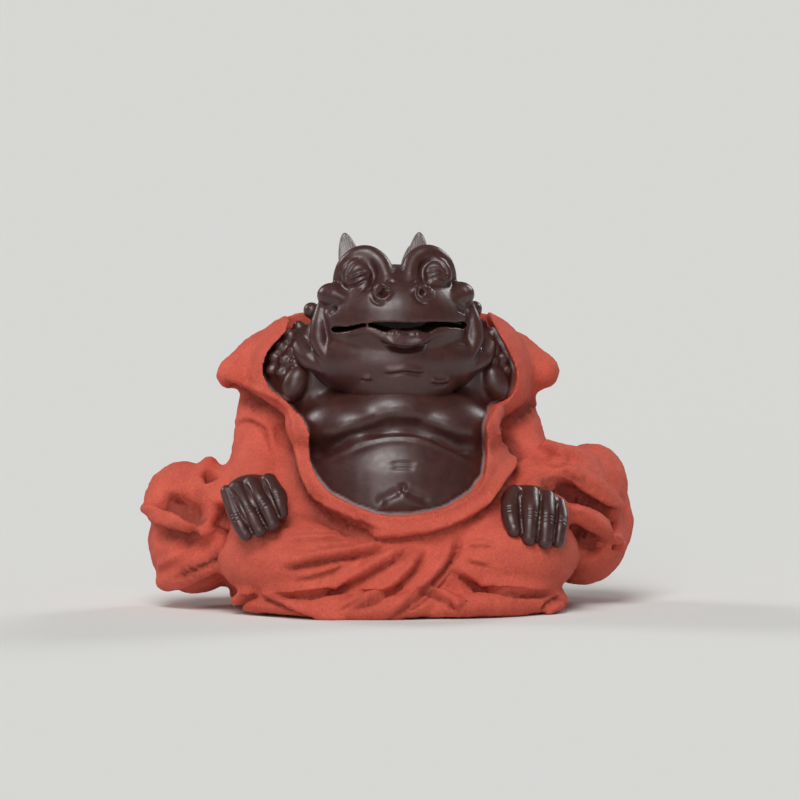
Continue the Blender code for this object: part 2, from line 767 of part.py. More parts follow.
def main():
    for thing in list(bpy.data.objects):
        bpy.data.objects.remove(thing)
    collection = bpy.data.collections.new("tea_pet")
    bpy.context.scene.collection.children.link(collection)

    toad = solid_toad()
    hands = {
        "right_hand": solid_hand(RIGHT_PALM, RIGHT_FINGERS),
        "left_hand": solid_hand(LEFT_PALM, LEFT_FINGERS),
    }
    robe = cut(solid_robe(), ground())
    robe = cut(robe, prism(OPENING, OPENING_FRONT_Y, OPENING_BACK_Y))
    robe = cut(robe, inflated(toad, CLEARANCE))
    for hand in hands.values():
        robe = cut(robe, inflated(hand, CLEARANCE))
    robe = cut(robe, vent())
    toad = cut(toad, prism(UPPER_LIP + LOWER_LIP, MOUTH_FRONT_Y, MOUTH_DEPTH_Y))

    fired("toad", in_one(toad), DARK_CLAY, collection)
    fired("robe", in_one(robe), RED_CLAY, collection)
    for name, hand in hands.items():
        fired(name, in_one(hand), DARK_CLAY, collection)


if __name__ == "__main__":
    main()
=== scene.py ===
"""Clay tea pet: a seated toad with a smooth dark body, wrapped in a rough red robe.

Each piece of clay is sculpted in millimetres, fused and carved, and then set down at the frame's size.
The toad faces -Y, +Z is up, and the origin is the middle of the flat base.
A place of something that comes in pairs is the one on the toad's left, at +X.
"""

import math
from typing import NamedTuple

import bmesh
import bpy
import numpy as np
from mathutils import Euler, Matrix, Vector
from mathutils.bvhtree import BVHTree


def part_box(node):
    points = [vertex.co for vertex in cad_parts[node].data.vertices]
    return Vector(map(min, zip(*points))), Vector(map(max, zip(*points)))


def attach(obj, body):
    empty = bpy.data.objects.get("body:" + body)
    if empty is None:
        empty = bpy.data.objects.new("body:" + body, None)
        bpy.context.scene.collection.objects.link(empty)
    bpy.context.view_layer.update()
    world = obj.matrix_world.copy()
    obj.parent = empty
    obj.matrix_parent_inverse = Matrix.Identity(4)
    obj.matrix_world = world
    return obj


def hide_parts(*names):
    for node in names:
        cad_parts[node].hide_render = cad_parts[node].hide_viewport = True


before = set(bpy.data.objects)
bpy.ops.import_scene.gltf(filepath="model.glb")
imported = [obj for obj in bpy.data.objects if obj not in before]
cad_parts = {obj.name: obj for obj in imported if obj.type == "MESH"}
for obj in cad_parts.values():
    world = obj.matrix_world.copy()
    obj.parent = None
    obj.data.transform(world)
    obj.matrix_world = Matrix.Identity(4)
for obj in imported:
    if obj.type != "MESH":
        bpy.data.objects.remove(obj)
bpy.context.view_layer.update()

bl_info = {
    "name": "Toad tea pet",
    "version": (1, 0, 0),
    "blender": (4, 5, 0),
    "location": "View3D > Sidebar > Tea pet",
    "description": "Sculpts a clay toad in a robe",
    "category": "Add Mesh",
}


class Stroke(NamedTuple):
    """Lines in pixels of the photograph, and how they are carved: width and lift in millimetres, the share
    that fades at each end, the tone left behind, the points on each line, and whether it is a fold."""

    lines: list | tuple
    width: float
    lift: float
    ends: float = 0.25
    # Tone paints shade into the robe's creases, valleys and gaps
    tone: float = 0.0
    count: int = 40
    fold: bool = False


# One millimetre of the sculpture, from the frame's own robe
ROBE_WIDTH = 100.25
UNIT = (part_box("robe")[1][0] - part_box("robe")[0][0]) / ROBE_WIDTH

# The photograph's angle, where the origin lies in it, its pixel and the camera's distance in millimetres
CAMERA_TURN = math.radians(-7)
CAMERA_RISE = math.radians(4.5)
ORIGIN_PIXEL = (388, 604)
PIXEL = 0.2033
FRAME_PIXELS = 800
CAMERA_DISTANCE = 5000

# Body of the toad
BELLY_AT = (0, -8, 23)
BELLY = (23, 23.4, 20.5)
BREAST_AT = (8.5, -12.5, 37.2)
BREAST = (11.5, 12.6, 7.6)
YOKE_AT = (16, -2, 46.5)
YOKE = (10.5, 11, 11)
CHEST_AT = (0, -12, 40.3)
CHEST = (13, 12.6, 7.4)
NECK_AT = (0, 0, 44)
NECK = (12, 10, 10)

# Head of the toad
THROAT_AT = (0, -10, 51)
THROAT = (18.3, 13.6, 9.4)
DEWLAP_AT = (0.4, -14.5, 48.4)
DEWLAP = (12.5, 8.6, 9)
JAW_AT = (0, -11, 54)
JAW = (14.4, 11.8, 6)
JOWL_AT = (11.5, -8.5, 54)
JOWL = (7, 6.5, 6.6)
SKULL_AT = (0, -4, 60.5)
SKULL = (14.6, 13.5, 9)
NAPE_AT = (0, 6, 56)
NAPE = (12.5, 12, 10.5)
MUZZLE_AT = (0, -10.2, 58.4)
MUZZLE = (15.6, 14.3, 11.6)

# Eye, and the hood round it from its outer corner over the top to the bridge of the nose
EYE_AT = (7.7, -14.6, 67.8)
EYE = (3.6, 3.5, 3.8)
EYE_TURN = 20
HOOD = (
    (11.6, -10.5, 64.6), (11.2, -11.5, 68), (9.4, -12.2, 70.9), (6.3, -12.8, 72.2), (3.8, -13.8, 70.9),
    (2.6, -15.8, 68.8), (2.3, -18.2, 66.6),
)
HOOD_RADII = (1, 1.5, 1.9, 2.1, 2.2, 2, 1.5)
NOSTRIL_AT = (4.1, -20.7, 65)
NOSTRIL = (2, 1.5, 1.9)

# Mouth, as seen from the front
UPPER_LIP = (
    (-13.6, 57.5), (-10.7, 58.1), (-7.7, 58.9), (-3.9, 59.2), (1.8, 59.1), (7.3, 59.1), (10.7, 58.8),
    (14, 58.2),
)
LOWER_LIP = (
    (14, 57.6), (10.7, 57.8), (7.9, 58), (5.2, 57), (1.4, 56.5), (-1.5, 56.8), (-4.2, 57.5), (-5.6, 58.1),
    (-7.6, 58.2), (-9.6, 57.5), (-11.5, 57), (-13.4, 57),
)
MOUTH_FRONT_Y = -44
MOUTH_DEPTH_Y = -11

# Cheek, jaw and temple
CHEEK_AT = (13, -13, 64)
CHEEK = (3.1, 3, 2.6)
CHEEK_TAIL = ((12.6, -14.6, 63.8), (9.8, -18, 62.8))
CHEEK_TAIL_RADII = (2.2, 1.1)
INNER_JAW = ((15, -12.4, 61.2), (15.6, -13.6, 58.2), (15.8, -14.6, 55), (14.7, -16.8, 51.8))
INNER_JAW_RADII = (1.4, 1.9, 2, 1.2)
OUTER_JAW = ((19.4, -6.5, 55), (18.9, -10, 53), (17.5, -13, 51), (15, -15.8, 49.2))
OUTER_JAW_RADII = (1.2, 2.2, 2.2, 1.2)
TEMPLE_AT = (16.6, -8, 60.6)
TEMPLE = (1.7, 2, 1.7)
CORNER_FOLDS = (
    ((13.6, -14.2, 61.6), (14, -14.6, 60), (13.4, -15.6, 58.9)),
    ((13.2, -15, 57.4), (13.6, -15, 56), (13.4, -15.6, 54)),
)
CORNER_FOLD_RADII = (0.5, 0.8, 0.5)

# Crest of leaf-shaped fins behind each eye: x, y and z of the middle, half height and half width
FINS = ((7, 6.8, 69.9, 6.1, 2.3), (6.2, 12.6, 67, 6, 2.3), (6, 17.5, 63, 5.6, 2.2))
FIN_THICKNESS = 0.9
FIN_LEAN = -33
FIN_SPLAY = 8
FIN_RIBS = 5
FIN_RIB_HEIGHT = 0.07
FIN_RIB_FOOT = 1.6
FIN_NARROW_TIP = 0.28
FIN_NARROW_FOOT = 0.3
FIN_RIM = 0.16
FIN_RIM_AT = 0.86
FIN_RIM_WIDTH = 0.09
# Share of the pale joint colour mixed over the whole crest: a painted grey sheen
CREST_PAINTED_SHEEN = 0.4

# Warts on the shoulders, as seen from the front: x, z and radius
WARTS = (
    (18.6, 57, 1.3), (20.6, 55.2, 1.6), (18.9, 54, 1.1), (22.6, 53.2, 1.3), (20.6, 52.4, 1.4),
    (24, 51, 1.4), (22.3, 50.6, 1.3), (20.4, 50.2, 1), (24.8, 48.4, 1.2), (23.2, 48.2, 1.1),
)
GLAND_AT = (20.4, -11.6, 46)
GLAND = (2.6, 2.6, 3.9)
GLAND_TURN = 25

# Carving of the head, in pixels of the photograph
EYE_SOCKETS = (
    (
        (344, 283), (346, 272), (352, 264), (360, 260.5), (368, 263), (373, 270), (374, 277),
        (369.5, 286), (360, 293.5),
    ),
    (
        (448.5, 281), (447.5, 269), (441, 261), (432, 259.5), (424.5, 264), (422, 271), (424, 280),
        (430, 287),
    ),
)
EYELID_WRINKLES = (
    ((346.5, 279.5), (354, 274.4), (361, 271.6), (370, 271)),
    ((345.5, 284), (355, 280.2), (363, 277), (371.5, 275)),
    ((347.5, 287.8), (356, 285.6), (364, 281.8), (371, 279)),
    ((425, 274), (431, 269.5), (439, 269.8), (446.5, 275)),
    ((426, 278.2), (432.5, 273.6), (440, 274.2), (447, 279.2)),
    ((428, 281.8), (434, 278), (441, 278.8), (446.5, 282.8)),
)
EYELID_RIDGES = (
    ((346, 281.8), (354.5, 277.2), (362, 274.4), (370.5, 273)),
    ((346.5, 286), (355.5, 283), (363.5, 279.4), (371, 277)),
    ((350, 289.2), (358, 287), (365.5, 282.8), (370.5, 280.6)),
    ((425.5, 276), (432, 271.5), (439.5, 272), (446.8, 277)),
    ((427, 280), (433, 275.8), (440.5, 276.6), (446.8, 281)),
    ((429.5, 283.4), (435, 280), (441.5, 281), (445.8, 284)),
)
NOSTRIL_GROOVES = (
    ((379, 282.5), (373, 287), (371.4, 294), (374, 300.5), (380, 303.5), (387, 302.5)),
    ((418.5, 286), (415.8, 291), (417, 298), (422.5, 302.4), (429, 301.5)),
)
NOSTRIL_RINGS = (
    (
        (384, 284.4), (378.4, 286), (375, 290.6), (375.2, 296), (379.5, 300), (385.5, 299.6),
        (389.5, 295.5), (389.4, 290.4),
    ),
    (
        (423.5, 287), (419.4, 290.4), (419, 295), (422.4, 299), (427.8, 298.8), (431, 295),
        (430.4, 290.4), (426.6, 287.6),
    ),
)
NOSTRIL_HOLES = (
    ((386.4, 288.2), (385.8, 291.4), (382.6, 294), (380.4, 292)),
    ((423.6, 290), (421.8, 292.6), (423.4, 295.2)),
)
NOSE_CURLS = (((385.5, 281.5), (391, 281.3), (394.5, 285)), ((417, 281.5), (412.5, 283), (411.5, 287)))
LOWER_LIP_RIM = (
    (340, 334.4), (352, 333.6), (364, 331.4), (373, 332.6), (382, 337.4), (394, 340.6), (408, 341.6),
    (425, 339), (438, 333.8), (452, 332.8),
)
CHIN_CREASE = ((379, 340.5), (392, 345.4), (406, 347.6), (420, 345.4), (433, 339.5))
CHIN_PIT = ((386, 345), (396, 347.8), (406, 349), (417, 347.6), (427, 344.5))
THROAT_LINES = (
    ((381, 373.5), (394, 373), (405.5, 371.6), (416, 373), (427, 373.2)),
    ((429, 381.5), (437, 384), (449, 382.6)),
    ((361, 379), (367, 380.4), (373, 379.5)),
)
MOUTH_PITS = (((332.6, 308.5), (333.6, 313)), ((461, 308.5), (461.4, 313)))
HEAD_STROKES = (
    Stroke(EYE_SOCKETS, width=0.5, lift=-0.9, ends=0.1),
    Stroke(EYELID_WRINKLES, width=0.4, lift=-0.5),
    Stroke(EYELID_RIDGES, width=0.36, lift=0.3),
    Stroke(NOSTRIL_GROOVES, width=0.5, lift=-0.5),
    Stroke(NOSTRIL_RINGS, width=0.5, lift=0.45, ends=0.1),
    Stroke(NOSTRIL_HOLES, width=0.55, lift=-1.5, ends=0.1),
    Stroke(NOSE_CURLS, width=0.4, lift=-0.3),
    Stroke(MOUTH_PITS, width=0.8, lift=-1.6, ends=0.02),
    Stroke([LOWER_LIP_RIM], width=0.5, lift=0.25, ends=0.1, count=60),
    Stroke([CHIN_CREASE], width=1.2, lift=1.1, fold=True),
    Stroke([CHIN_PIT], width=0.7, lift=-0.9),
    Stroke(THROAT_LINES, width=0.8, lift=0.45, fold=True),
)

# Carving of the body, in pixels of the photograph
BREAST_VALLEY = (
    (300, 453), (316, 453.5), (334, 447.5), (354, 438), (377, 430.5), (403, 428.5), (426, 432),
    (446, 441), (464, 449.5), (482, 451),
)
BELLY_LIP = (
    (304, 459.5), (320, 458.5), (338, 452), (358, 442), (380, 436.5), (403, 435.5), (425, 439.5),
    (445, 449), (462, 456.5), (480, 458),
)
NAVEL = ((403.5, 482), (403.5, 487), (403, 493))
NAVEL_FOLDS = (
    ((403, 489), (394, 494), (384, 499), (374, 502.5)),
    ((403, 489), (412, 493.5), (422, 498), (432, 501.5)),
)
NAVEL_LIP = ((376, 506), (389, 501.5), (403, 498.5), (418, 501), (430, 505.5))
BELLY_LINES = (((388, 463.5), (403, 462.5), (418, 463.5)), ((390, 468.5), (403, 467.5), (416, 468.5)))
BODY_STROKES = (
    Stroke([BREAST_VALLEY], width=1.9, lift=-2.0, ends=0.12, count=60),
    Stroke([BELLY_LIP], width=0.9, lift=1.0, ends=0.12, count=60),
    Stroke([NAVEL], width=0.6, lift=-1.0),
    Stroke(NAVEL_FOLDS, width=0.9, lift=-0.8, ends=0.3),
    Stroke([NAVEL_LIP], width=1.5, lift=0.6),
    Stroke(BELLY_LINES, width=0.4, lift=-0.22),
)

# Large forms of the robe
CLOTH = 2.8
SEAT_AT = (0, 2, 8.5)
SEAT = (35, 34, 14)
BACK_AT = (0, 8, 31)
BACK = (29, 27, 27.5)
KNEE_AT = (18.5, -17, 11.5)
KNEE = (18.5, 18, 10.5)
LAP_AT = (0, -18.5, 8.5)
LAP = (24, 17.5, 11)
CAPE = ((11, 8, 52.5), (19, 5, 51.8), (26, 2, 49.5), (31.4, -0.5, 47.2))
CAPE_RADII = (6.8, 6.2, 5.6, 3.8)
ARM = ((23.5, 1, 40), (25.5, -3, 31), (28, -12, 24), (29, -20, 20))
ARM_RADII = (7.2, 7, 6.6, 5.6)

# Sleeves, each hanging beside a knee: balls with their radii, and rolls with theirs
RIGHT_SLEEVE_BALLS = (
    ((-41.5, 1, 21.5), (7.5, 9, 8)), ((-39.5, 0, 13), (9.5, 12, 10.5)), ((-33, -5, 21), (8, 9, 8)),
)
RIGHT_SLEEVE_ROLLS = (
    (
        ((-46.3, 2, 25), (-48, -3, 20.5), (-45.5, -8, 17.5), (-40, -12, 17), (-34, -13, 17.5)),
        (2.4, 2.4, 2.4, 2.6, 2.2),
    ),
    (((-45.8, -3, 5.5), (-42, -10, 7.5), (-37, -13.5, 10.5), (-32, -14, 14.5)), (2.4, 2.6, 2.4, 1.8)),
    (((-37, -3, 29), (-38, -8, 25.5), (-34, -12, 22)), (2, 2.2, 1.8)),
)
RIGHT_SLEEVE_MOUTH = ((-56, -14, 10.5), (-47, -12, 12), (-39, -13, 13.6))
RIGHT_SLEEVE_MOUTH_RADII = (4.5, 3.2, 1.2)
LEFT_SLEEVE_BALLS = (
    ((42, 3, 23.8), (7.5, 9, 8.4)), ((39.5, 0, 13), (9.5, 12, 9.5)), ((35.5, -3.5, 24), (9, 10, 8.5)),
)
LEFT_SLEEVE_ROLLS = (
    (((47, 2, 22), (47.8, 0, 16), (46, -3, 10.5)), (2.4, 2.7, 2.4)),
    (((28, -15, 27.6), (35, -14.5, 27), (41, -11.5, 24), (46, -6, 20)), (2.2, 2.6, 2.5, 2)),
    (((33, -17, 20.5), (38, -15.5, 18.8), (43, -11.5, 15.5), (46.3, -8, 11.5)), (2, 2.5, 2.4, 1.6)),
    (((31, -12, 33), (36.5, -9, 30.8), (41, -4.5, 29.4)), (1.6, 2, 1.8)),
)
LEFT_SLEEVE_MOUTH = ((54, -12, 12), (48, -10, 12.3), (42, -10, 13))
LEFT_SLEEVE_MOUTH_RADII = (2, 1.5, 0.9)
HEM_ROLLS = (
    (
        ((-31, -21, 2.6), (-24, -29, 3), (-15, -34, 2.4), (-4, -36, 2.2), (3, -36, 3), (7, -34.5, 4.6)),
        (2.4, 2.6, 2.6, 2.6, 2.2, 1.4),
    ),
    (((1, -35, 1.8), (12, -35.5, 2.6), (22, -31.5, 2.6), (32, -23.5, 2.4)), (1.8, 2.6, 2.8, 2.2)),
)

# Opening of the robe, as seen from the front
OPENING = (
    (-26.4, 50.4), (-25.6, 45.3), (-21.5, 41.5), (-19.5, 38.9), (-18.6, 34), (-18.3, 30.1), (-15.9, 25.8),
    (-12.1, 23.3), (-3.2, 20.6), (3, 20.6), (8.2, 21.8), (14.9, 25.7), (17, 30.1), (17.4, 35),
    (17.2, 37.9), (19.2, 40.7), (23.8, 43.4), (24.8, 48.3), (23.2, 52.3), (20.5, 58), (18, 70), (-18, 70),
    (-21, 58),
)
OPENING_FRONT_Y = -70
OPENING_BACK_Y = 2

# Width of the dusty joint between toad and robe
JOINT_WIDTH = 0.35

# Carving of the robe, in pixels of the photograph: valleys beside the lapels, ridges along their edges
LAPEL_VALLEYS = (
    (
        (222, 380), (240, 396), (262, 408), (279, 421), (284.5, 437), (287.5, 461), (297, 487),
        (308, 503.5), (330, 515.5), (355, 526), (383, 535),
    ),
    ((518, 462), (513, 450), (507, 440), (504, 431), (508, 423), (518, 416), (530, 409), (542, 402)),
)
LAPEL_CREASES = (
    ((305, 505), (330, 517), (353, 529), (381, 537), (420, 534), (449, 526), (468, 518)),
    ((449, 527), (468, 518), (487, 505), (499, 487), (512, 469), (516, 452)),
)
LAPEL_RIDGES = (
    (
        (221, 376), (249, 386), (272, 395.5), (289, 408), (294.5, 428), (297.5, 452), (302.5, 478),
        (311, 497), (334, 508), (368, 522), (406, 528),
    ),
    (
        (406, 528), (440, 524), (468, 511), (485, 500), (499, 483), (510, 466), (512, 453), (502, 441),
        (497, 428),
    ),
)
THIN_FOLDS = (
    ((283, 541), (304, 538.5), (324, 537.5), (349, 537)),
    ((303, 551), (322, 547), (344, 545), (366, 542)),
    ((292, 579), (312, 575), (330, 570), (352, 561)),
    ((462, 558), (476, 562), (492, 565)),
    ((464, 546), (480, 545), (497, 546)),
    ((396, 616), (414, 606), (430, 593), (446, 576), (458, 556)),
    ((334, 609), (350, 603), (366, 594), (384, 581)),
)
DEEP_FOLDS = (
    ((278, 566), (300, 563), (322, 558.5), (346, 555), (372, 550), (392, 541)),
    ((262, 590), (286, 593), (313, 592), (338, 586), (360, 577), (380, 566), (398, 555), (414, 541)),
    ((346, 608), (370, 600), (389, 590), (404, 578), (416, 565), (427, 545)),
    ((384, 620), (403, 606), (419, 593), (433, 579), (445, 565), (454, 549), (460, 528)),
    ((447, 562), (463, 575), (482, 585), (500, 589.5), (518, 591.5), (538, 591.5), (560, 589)),
)
HEM_FOLDS = (
    ((238, 611), (241, 602), (248, 595), (259, 591)),
    ((259, 592), (278, 601), (299, 610), (322, 616), (350, 619)),
    ((423, 589), (436, 594), (448, 600), (458, 610)),
    ((562, 598), (551, 602), (541, 610)),
)
ARM_FOLDS = (
    ((233, 425), (249, 420), (262, 426), (270, 437), (276, 456.5)),
    ((544, 462.4), (558, 464.5), (572, 463.5)),
    ((556, 470), (570, 474), (583, 483)),
)
SLEEVE_RIDGES = (
    (
        (520.8, 485), (537, 480), (555.5, 475), (569.8, 478), (582, 489), (596.3, 497), (612.7, 505),
        (623, 506.3),
    ),
    ((564.7, 507.3), (582, 510.4), (595.3, 519.6), (607.6, 529.8), (619.8, 542), (624.4, 551)),
    ((142, 513), (146, 508), (158, 510), (172, 515), (186, 522), (200, 527)),
    ((157, 567), (169.5, 560), (189, 550), (203, 543)),
)
SLEEVE_VALLEYS = (
    ((534, 487), (552, 485), (570, 493), (588, 505), (604, 513), (616, 518)),
    ((569, 524), (580, 533), (591, 544), (601, 555)),
    ((158, 501), (178, 506), (194, 515), (208, 523)),
    ((154, 531), (170, 536), (188, 539), (204, 536)),
    ((170, 578), (188, 572), (206, 562), (220, 552)),
)
KNEE_GAPS = (((219, 500), (221, 514), (222, 530), (224, 548)), ((204, 468), (208, 474), (212, 482)))
SLEEVE_HOLE = ((614.5, 520), (615.2, 526.7), (615.8, 533))
# Each stroke's tone paints shade into the robe's valleys, creases, gaps and sleeve hole
ROBE_STROKES = (
    Stroke(LAPEL_VALLEYS[:1], width=1.7, lift=-2.3, ends=0.08, tone=1.0, count=60),
    Stroke(LAPEL_VALLEYS[1:], width=1.7, lift=-1.6, ends=0.08, tone=1.0, count=60),
    Stroke(LAPEL_CREASES, width=1.6, lift=1.0, ends=0.2, tone=0.8, count=60, fold=True),
    Stroke(LAPEL_RIDGES, width=0.6, lift=0.5, ends=0.06, count=60),
    Stroke(THIN_FOLDS, width=0.9, lift=0.5, ends=0.3, tone=0.4, count=50, fold=True),
    Stroke(DEEP_FOLDS, width=1.7, lift=1.5, ends=0.2, tone=0.8, count=50, fold=True),
    Stroke(HEM_FOLDS, width=1.3, lift=1.3, ends=0.15, tone=0.8, count=50, fold=True),
    Stroke(ARM_FOLDS, width=1.2, lift=0.7, tone=0.6, fold=True),
    Stroke(SLEEVE_RIDGES, width=0.9, lift=0.9, ends=0.15),
    Stroke(SLEEVE_VALLEYS, width=1.9, lift=-1.9, ends=0.2, tone=1.1),
    Stroke(KNEE_GAPS, width=1.3, lift=-3.5, ends=0.3, tone=1.0),
    Stroke([SLEEVE_HOLE], width=1.0, lift=-4, ends=0.05, tone=0.6),
)

# Folds down the back, as seen from the front
BACK_FOLDS = (
    ((-24, 44), (-18, 30), (-20, 16)),
    ((-10, 52), (-7, 34), (-11, 14)),
    ((6, 53), (9, 36), (5, 16)),
    ((20, 47), (19, 32), (24, 16)),
)

# Hands: the palm's place, radii and turn, and the path and radii of each finger from knuckle to tip
RIGHT_PALM = ((-29.6, -23.3, 24), (6.4, 5.5, 4.6), (0, 10, 0))
RIGHT_FINGERS = (
    ((-35.8, -25.3, 25.3), (-34.8, -28.5, 21.6), (-33.7, -31, 18.6), (-32.8, -31.5, 17.2)),
    ((-33.9, -26, 26.1), (-32.6, -29.5, 22.8), (-31.3, -31.5, 20.2), (-30, -32, 18)),
    ((-31, -26, 27), (-29.9, -30, 24), (-28.3, -31.5, 21.5), (-27.4, -32, 19.3)),
    ((-27.4, -25.5, 27.2), (-26.4, -29, 24.9), (-25.9, -30.5, 22.9), (-25.6, -30.5, 21.4)),
)
RIGHT_FINGER_RADII = (
    (1.3, 1.4, 1.3, 1.2), (1.4, 1.5, 1.35, 1.25), (1.5, 1.6, 1.45, 1.35), (1.7, 1.8, 1.6, 1.4),
)
LEFT_PALM = ((26.6, -23.3, 21.2), (7, 5.5, 4.6), (0, 14, 0))
LEFT_FINGERS = (
    ((22.6, -26, 24.4), (21.4, -29, 21.5), (21.3, -31.5, 19.2), (21.7, -32.5, 17.6)),
    ((25.8, -26.5, 24.4), (25.3, -30.5, 21.4), (24.9, -32.5, 18.3), (24.7, -33, 16)),
    ((29.2, -26, 23.5), (28.6, -30, 20.5), (28.2, -32, 17.6), (28, -32.5, 15.2)),
    ((31.8, -24.5, 22), (31.8, -28, 19.5), (31.2, -30.5, 17.3), (30.8, -31, 15.1)),
)
LEFT_FINGER_RADII = (
    (1.7, 1.9, 1.7, 1.4), (1.6, 1.75, 1.6, 1.45), (1.5, 1.6, 1.5, 1.35), (1.3, 1.4, 1.3, 1.2),
)

# Lamps: name, azimuth, rise and softness in degrees, and strength as a share of the key lamp's
LAMPS = (
    ("key", -20, 52, 30, 0.85),
    ("front", -15, 14, 30, 0.3),
    ("left_edge", -125, 30, 20, 0.35),
    ("right_edge", 130, 30, 20, 0.35),
)

# Half the floor's side, in metres
FLOOR_REACH = 20

# Fineness of the clay, as the side of a voxel, and how often a fresh skin is softened
HEAD_VOXEL = 0.3
BODY_VOXEL = 0.42
ROBE_VOXEL = 0.42
HAND_VOXEL = 0.2
SOFTENING = 2
ROBE_TRIANGLES = 185000

# Grain of the robe: each noise's size, strength and the part that takes it, and a valley's least tone
STIPPLE = ((2.6, 0.4, ""), (1.0, 0.22, ""), (0.9, 1.5, "valleys"))
LEAST_TONE = 0.05

# Strokes: the distance they are laid on from, their reach in widths, and the crest and the crease across a
# fold, each as a place and a width, with the crease's depth as a share of the crest's height
FAR = 200
STROKE_REACH = 3
FOLD_CREST = (0.7, 0.75)
FOLD_CREASE = (-0.3, 0.38)
FOLD_DROP = 0.8

# Name of the tone left for the materials: painted shade from the strokes, dust at the joint and the crest's
# painted sheen; and how far back a dusty face may point
TONE = "tone"
DUST_FACING = 0.2

# Fingers: how much fuller they and their tips are than their paths' radii, the places of their creases as
# shares of the way from knuckle to tip, a crease's start and sweep in degrees, and the grooves between them
FINGER_FULLNESS = 0.15
FINGERTIP = 0.2
FINGER_CREASES = (0.42, 0.48, 0.54)
CREASE_START = 25
CREASE_SWEEP = 130
CREASE_STEPS = 8
FINGER_STEPS = 40
FINGER_GROOVES = (
    (
        ((232, 488), (241, 503.6), (248.6, 521), (253, 533)),
        ((246, 482), (254.3, 499.7), (262, 517), (268.5, 527)),
        ((264, 477), (270.6, 494), (277.3, 509.3), (281, 518)),
    ),
    (
        ((518, 490), (519.5, 505), (520.5, 520), (522, 535)),
        ((541, 492), (539, 510), (536.5, 530), (535, 548)),
        ((556.5, 498), (555.5, 514), (553.5, 530), (552, 545)),
    ),
)


def placed(at, turn):
    """The matrix that turns a thing, in degrees, and moves it to its place."""
    angles = Euler([math.radians(angle) for angle in turn])
    return Matrix.Translation(at) @ angles.to_matrix().to_4x4()


def press_ball(clay, at, radii, turn=(0, 0, 0)):
    """Presses an egg-shaped lump into the clay."""
    made = bmesh.ops.create_uvsphere(clay, u_segments=40, v_segments=20, radius=1.0)
    matrix = placed(at, turn) @ Matrix.Diagonal((*radii, 1.0))
    bmesh.ops.transform(clay, matrix=matrix, verts=made["verts"])


def press_leaf(clay, at, half_height, half_width, turn):
    """Presses in a thin leaf, with a round tip, a raised rim and ribs that fan out from its foot."""
    made = bmesh.ops.create_uvsphere(clay, u_segments=64, v_segments=32, radius=1.0)
    for vertex in made["verts"]:
        x, y, z = vertex.co
        spread = math.atan2(x, z + FIN_RIB_FOOT) / math.atan(1 / FIN_RIB_FOOT)
        face = math.copysign(1, y) * math.sqrt(abs(y))
        edge = 1 - y * y
        ribs = FIN_RIB_HEIGHT * math.cos(FIN_RIBS * math.pi * spread) * (1 - edge**4)
        rim = FIN_RIM * math.exp(-(((edge - FIN_RIM_AT) / FIN_RIM_WIDTH) ** 2))
        narrow = 1 - FIN_NARROW_TIP * max(0.0, z) - FIN_NARROW_FOOT * max(0.0, -z)
        side = face * FIN_THICKNESS / 2 + math.copysign(ribs + rim, y)
        on_edge = abs(y) < 0.001
        vertex.co = (x * half_width * narrow, 0 if on_edge else side, z * half_height)
    bmesh.ops.transform(clay, matrix=placed(at, turn), verts=made["verts"])


def mesh_of_curve(curve):
    """The curve's surface as a mesh. The curve is used up."""
    guide = bpy.data.objects.new("guide", curve)
    mesh = bpy.data.meshes.new_from_object(guide)
    bpy.data.objects.remove(guide)
    bpy.data.curves.remove(curve)
    return mesh


def add_knots(curve, places, closed=False):
    """Adds a smooth line through the places to the curve, and gives its knots."""
    spline = curve.splines.new("BEZIER")
    spline.use_cyclic_u = closed
    spline.bezier_points.add(len(places) - 1)
    for knot, place in zip(spline.bezier_points, places):
        knot.co = place
        knot.handle_left_type = "AUTO"
        knot.handle_right_type = "AUTO"
    return spline.bezier_points


def press_roll(clay, path, radii, side=1):
    """Lays a tapering roll of clay along a smooth path, with round ends. side -1 mirrors it."""
    path = [on_side(place, side) for place in path]
    curve = bpy.data.curves.new("roll", "CURVE")
    curve.dimensions = "3D"
    curve.bevel_depth = 1.0
    curve.bevel_resolution = 5
    curve.resolution_u = 10
    curve.use_fill_caps = True
    for knot, radius in zip(add_knots(curve, path), radii):
        knot.radius = radius
    clay.from_mesh(mesh_of_curve(curve))
    for place, radius in ((path[0], radii[0]), (path[-1], radii[-1])):
        press_ball(clay, place, (radius, radius, radius))


def prism(outline, front_y, back_y):
    """A smooth closed outline, given as seen from the front, run from front_y to back_y."""
    curve = bpy.data.curves.new("outline", "CURVE")
    curve.dimensions = "2D"
    curve.fill_mode = "BOTH"
    curve.extrude = (back_y - front_y) / 2
    curve.resolution_u = 8
    add_knots(curve, [(x, z, 0) for x, z in outline], closed=True)
    mesh = mesh_of_curve(curve)
    upright = Matrix.Rotation(math.radians(90), 4, "X")
    mesh.transform(Matrix.Translation((0, (front_y + back_y) / 2, 0)) @ upright)
    clay = bmesh.new()
    clay.from_mesh(mesh)
    bmesh.ops.remove_doubles(clay, verts=clay.verts, dist=0.0001)
    bmesh.ops.recalc_face_normals(clay, faces=clay.faces)
    clay.to_mesh(mesh)
    clay.free()
    return mesh


def in_scene(name, mesh):
    thing = bpy.data.objects.new(name, mesh)
    bpy.context.scene.collection.objects.link(thing)
    return thing


def settled(thing):
    """The mesh of an object with its modifiers applied. The object is used up."""
    graph = bpy.context.evaluated_depsgraph_get()
    mesh = bpy.data.meshes.new_from_object(thing.evaluated_get(graph))
    bpy.data.objects.remove(thing)
    return mesh


def fused(clay, voxel, softening=SOFTENING):
    """One closed skin round every lump in the clay, softened where they meet."""
    mesh = bpy.data.meshes.new("clay")
    clay.to_mesh(mesh)
    clay.free()
    lump = in_scene("lump", mesh)
    remesh = lump.modifiers.new("fuse", "REMESH")
    remesh.mode = "VOXEL"
    remesh.voxel_size = voxel
    soften = lump.modifiers.new("soften", "SMOOTH")
    soften.factor = 0.5
    soften.iterations = softening
    return settled(lump)


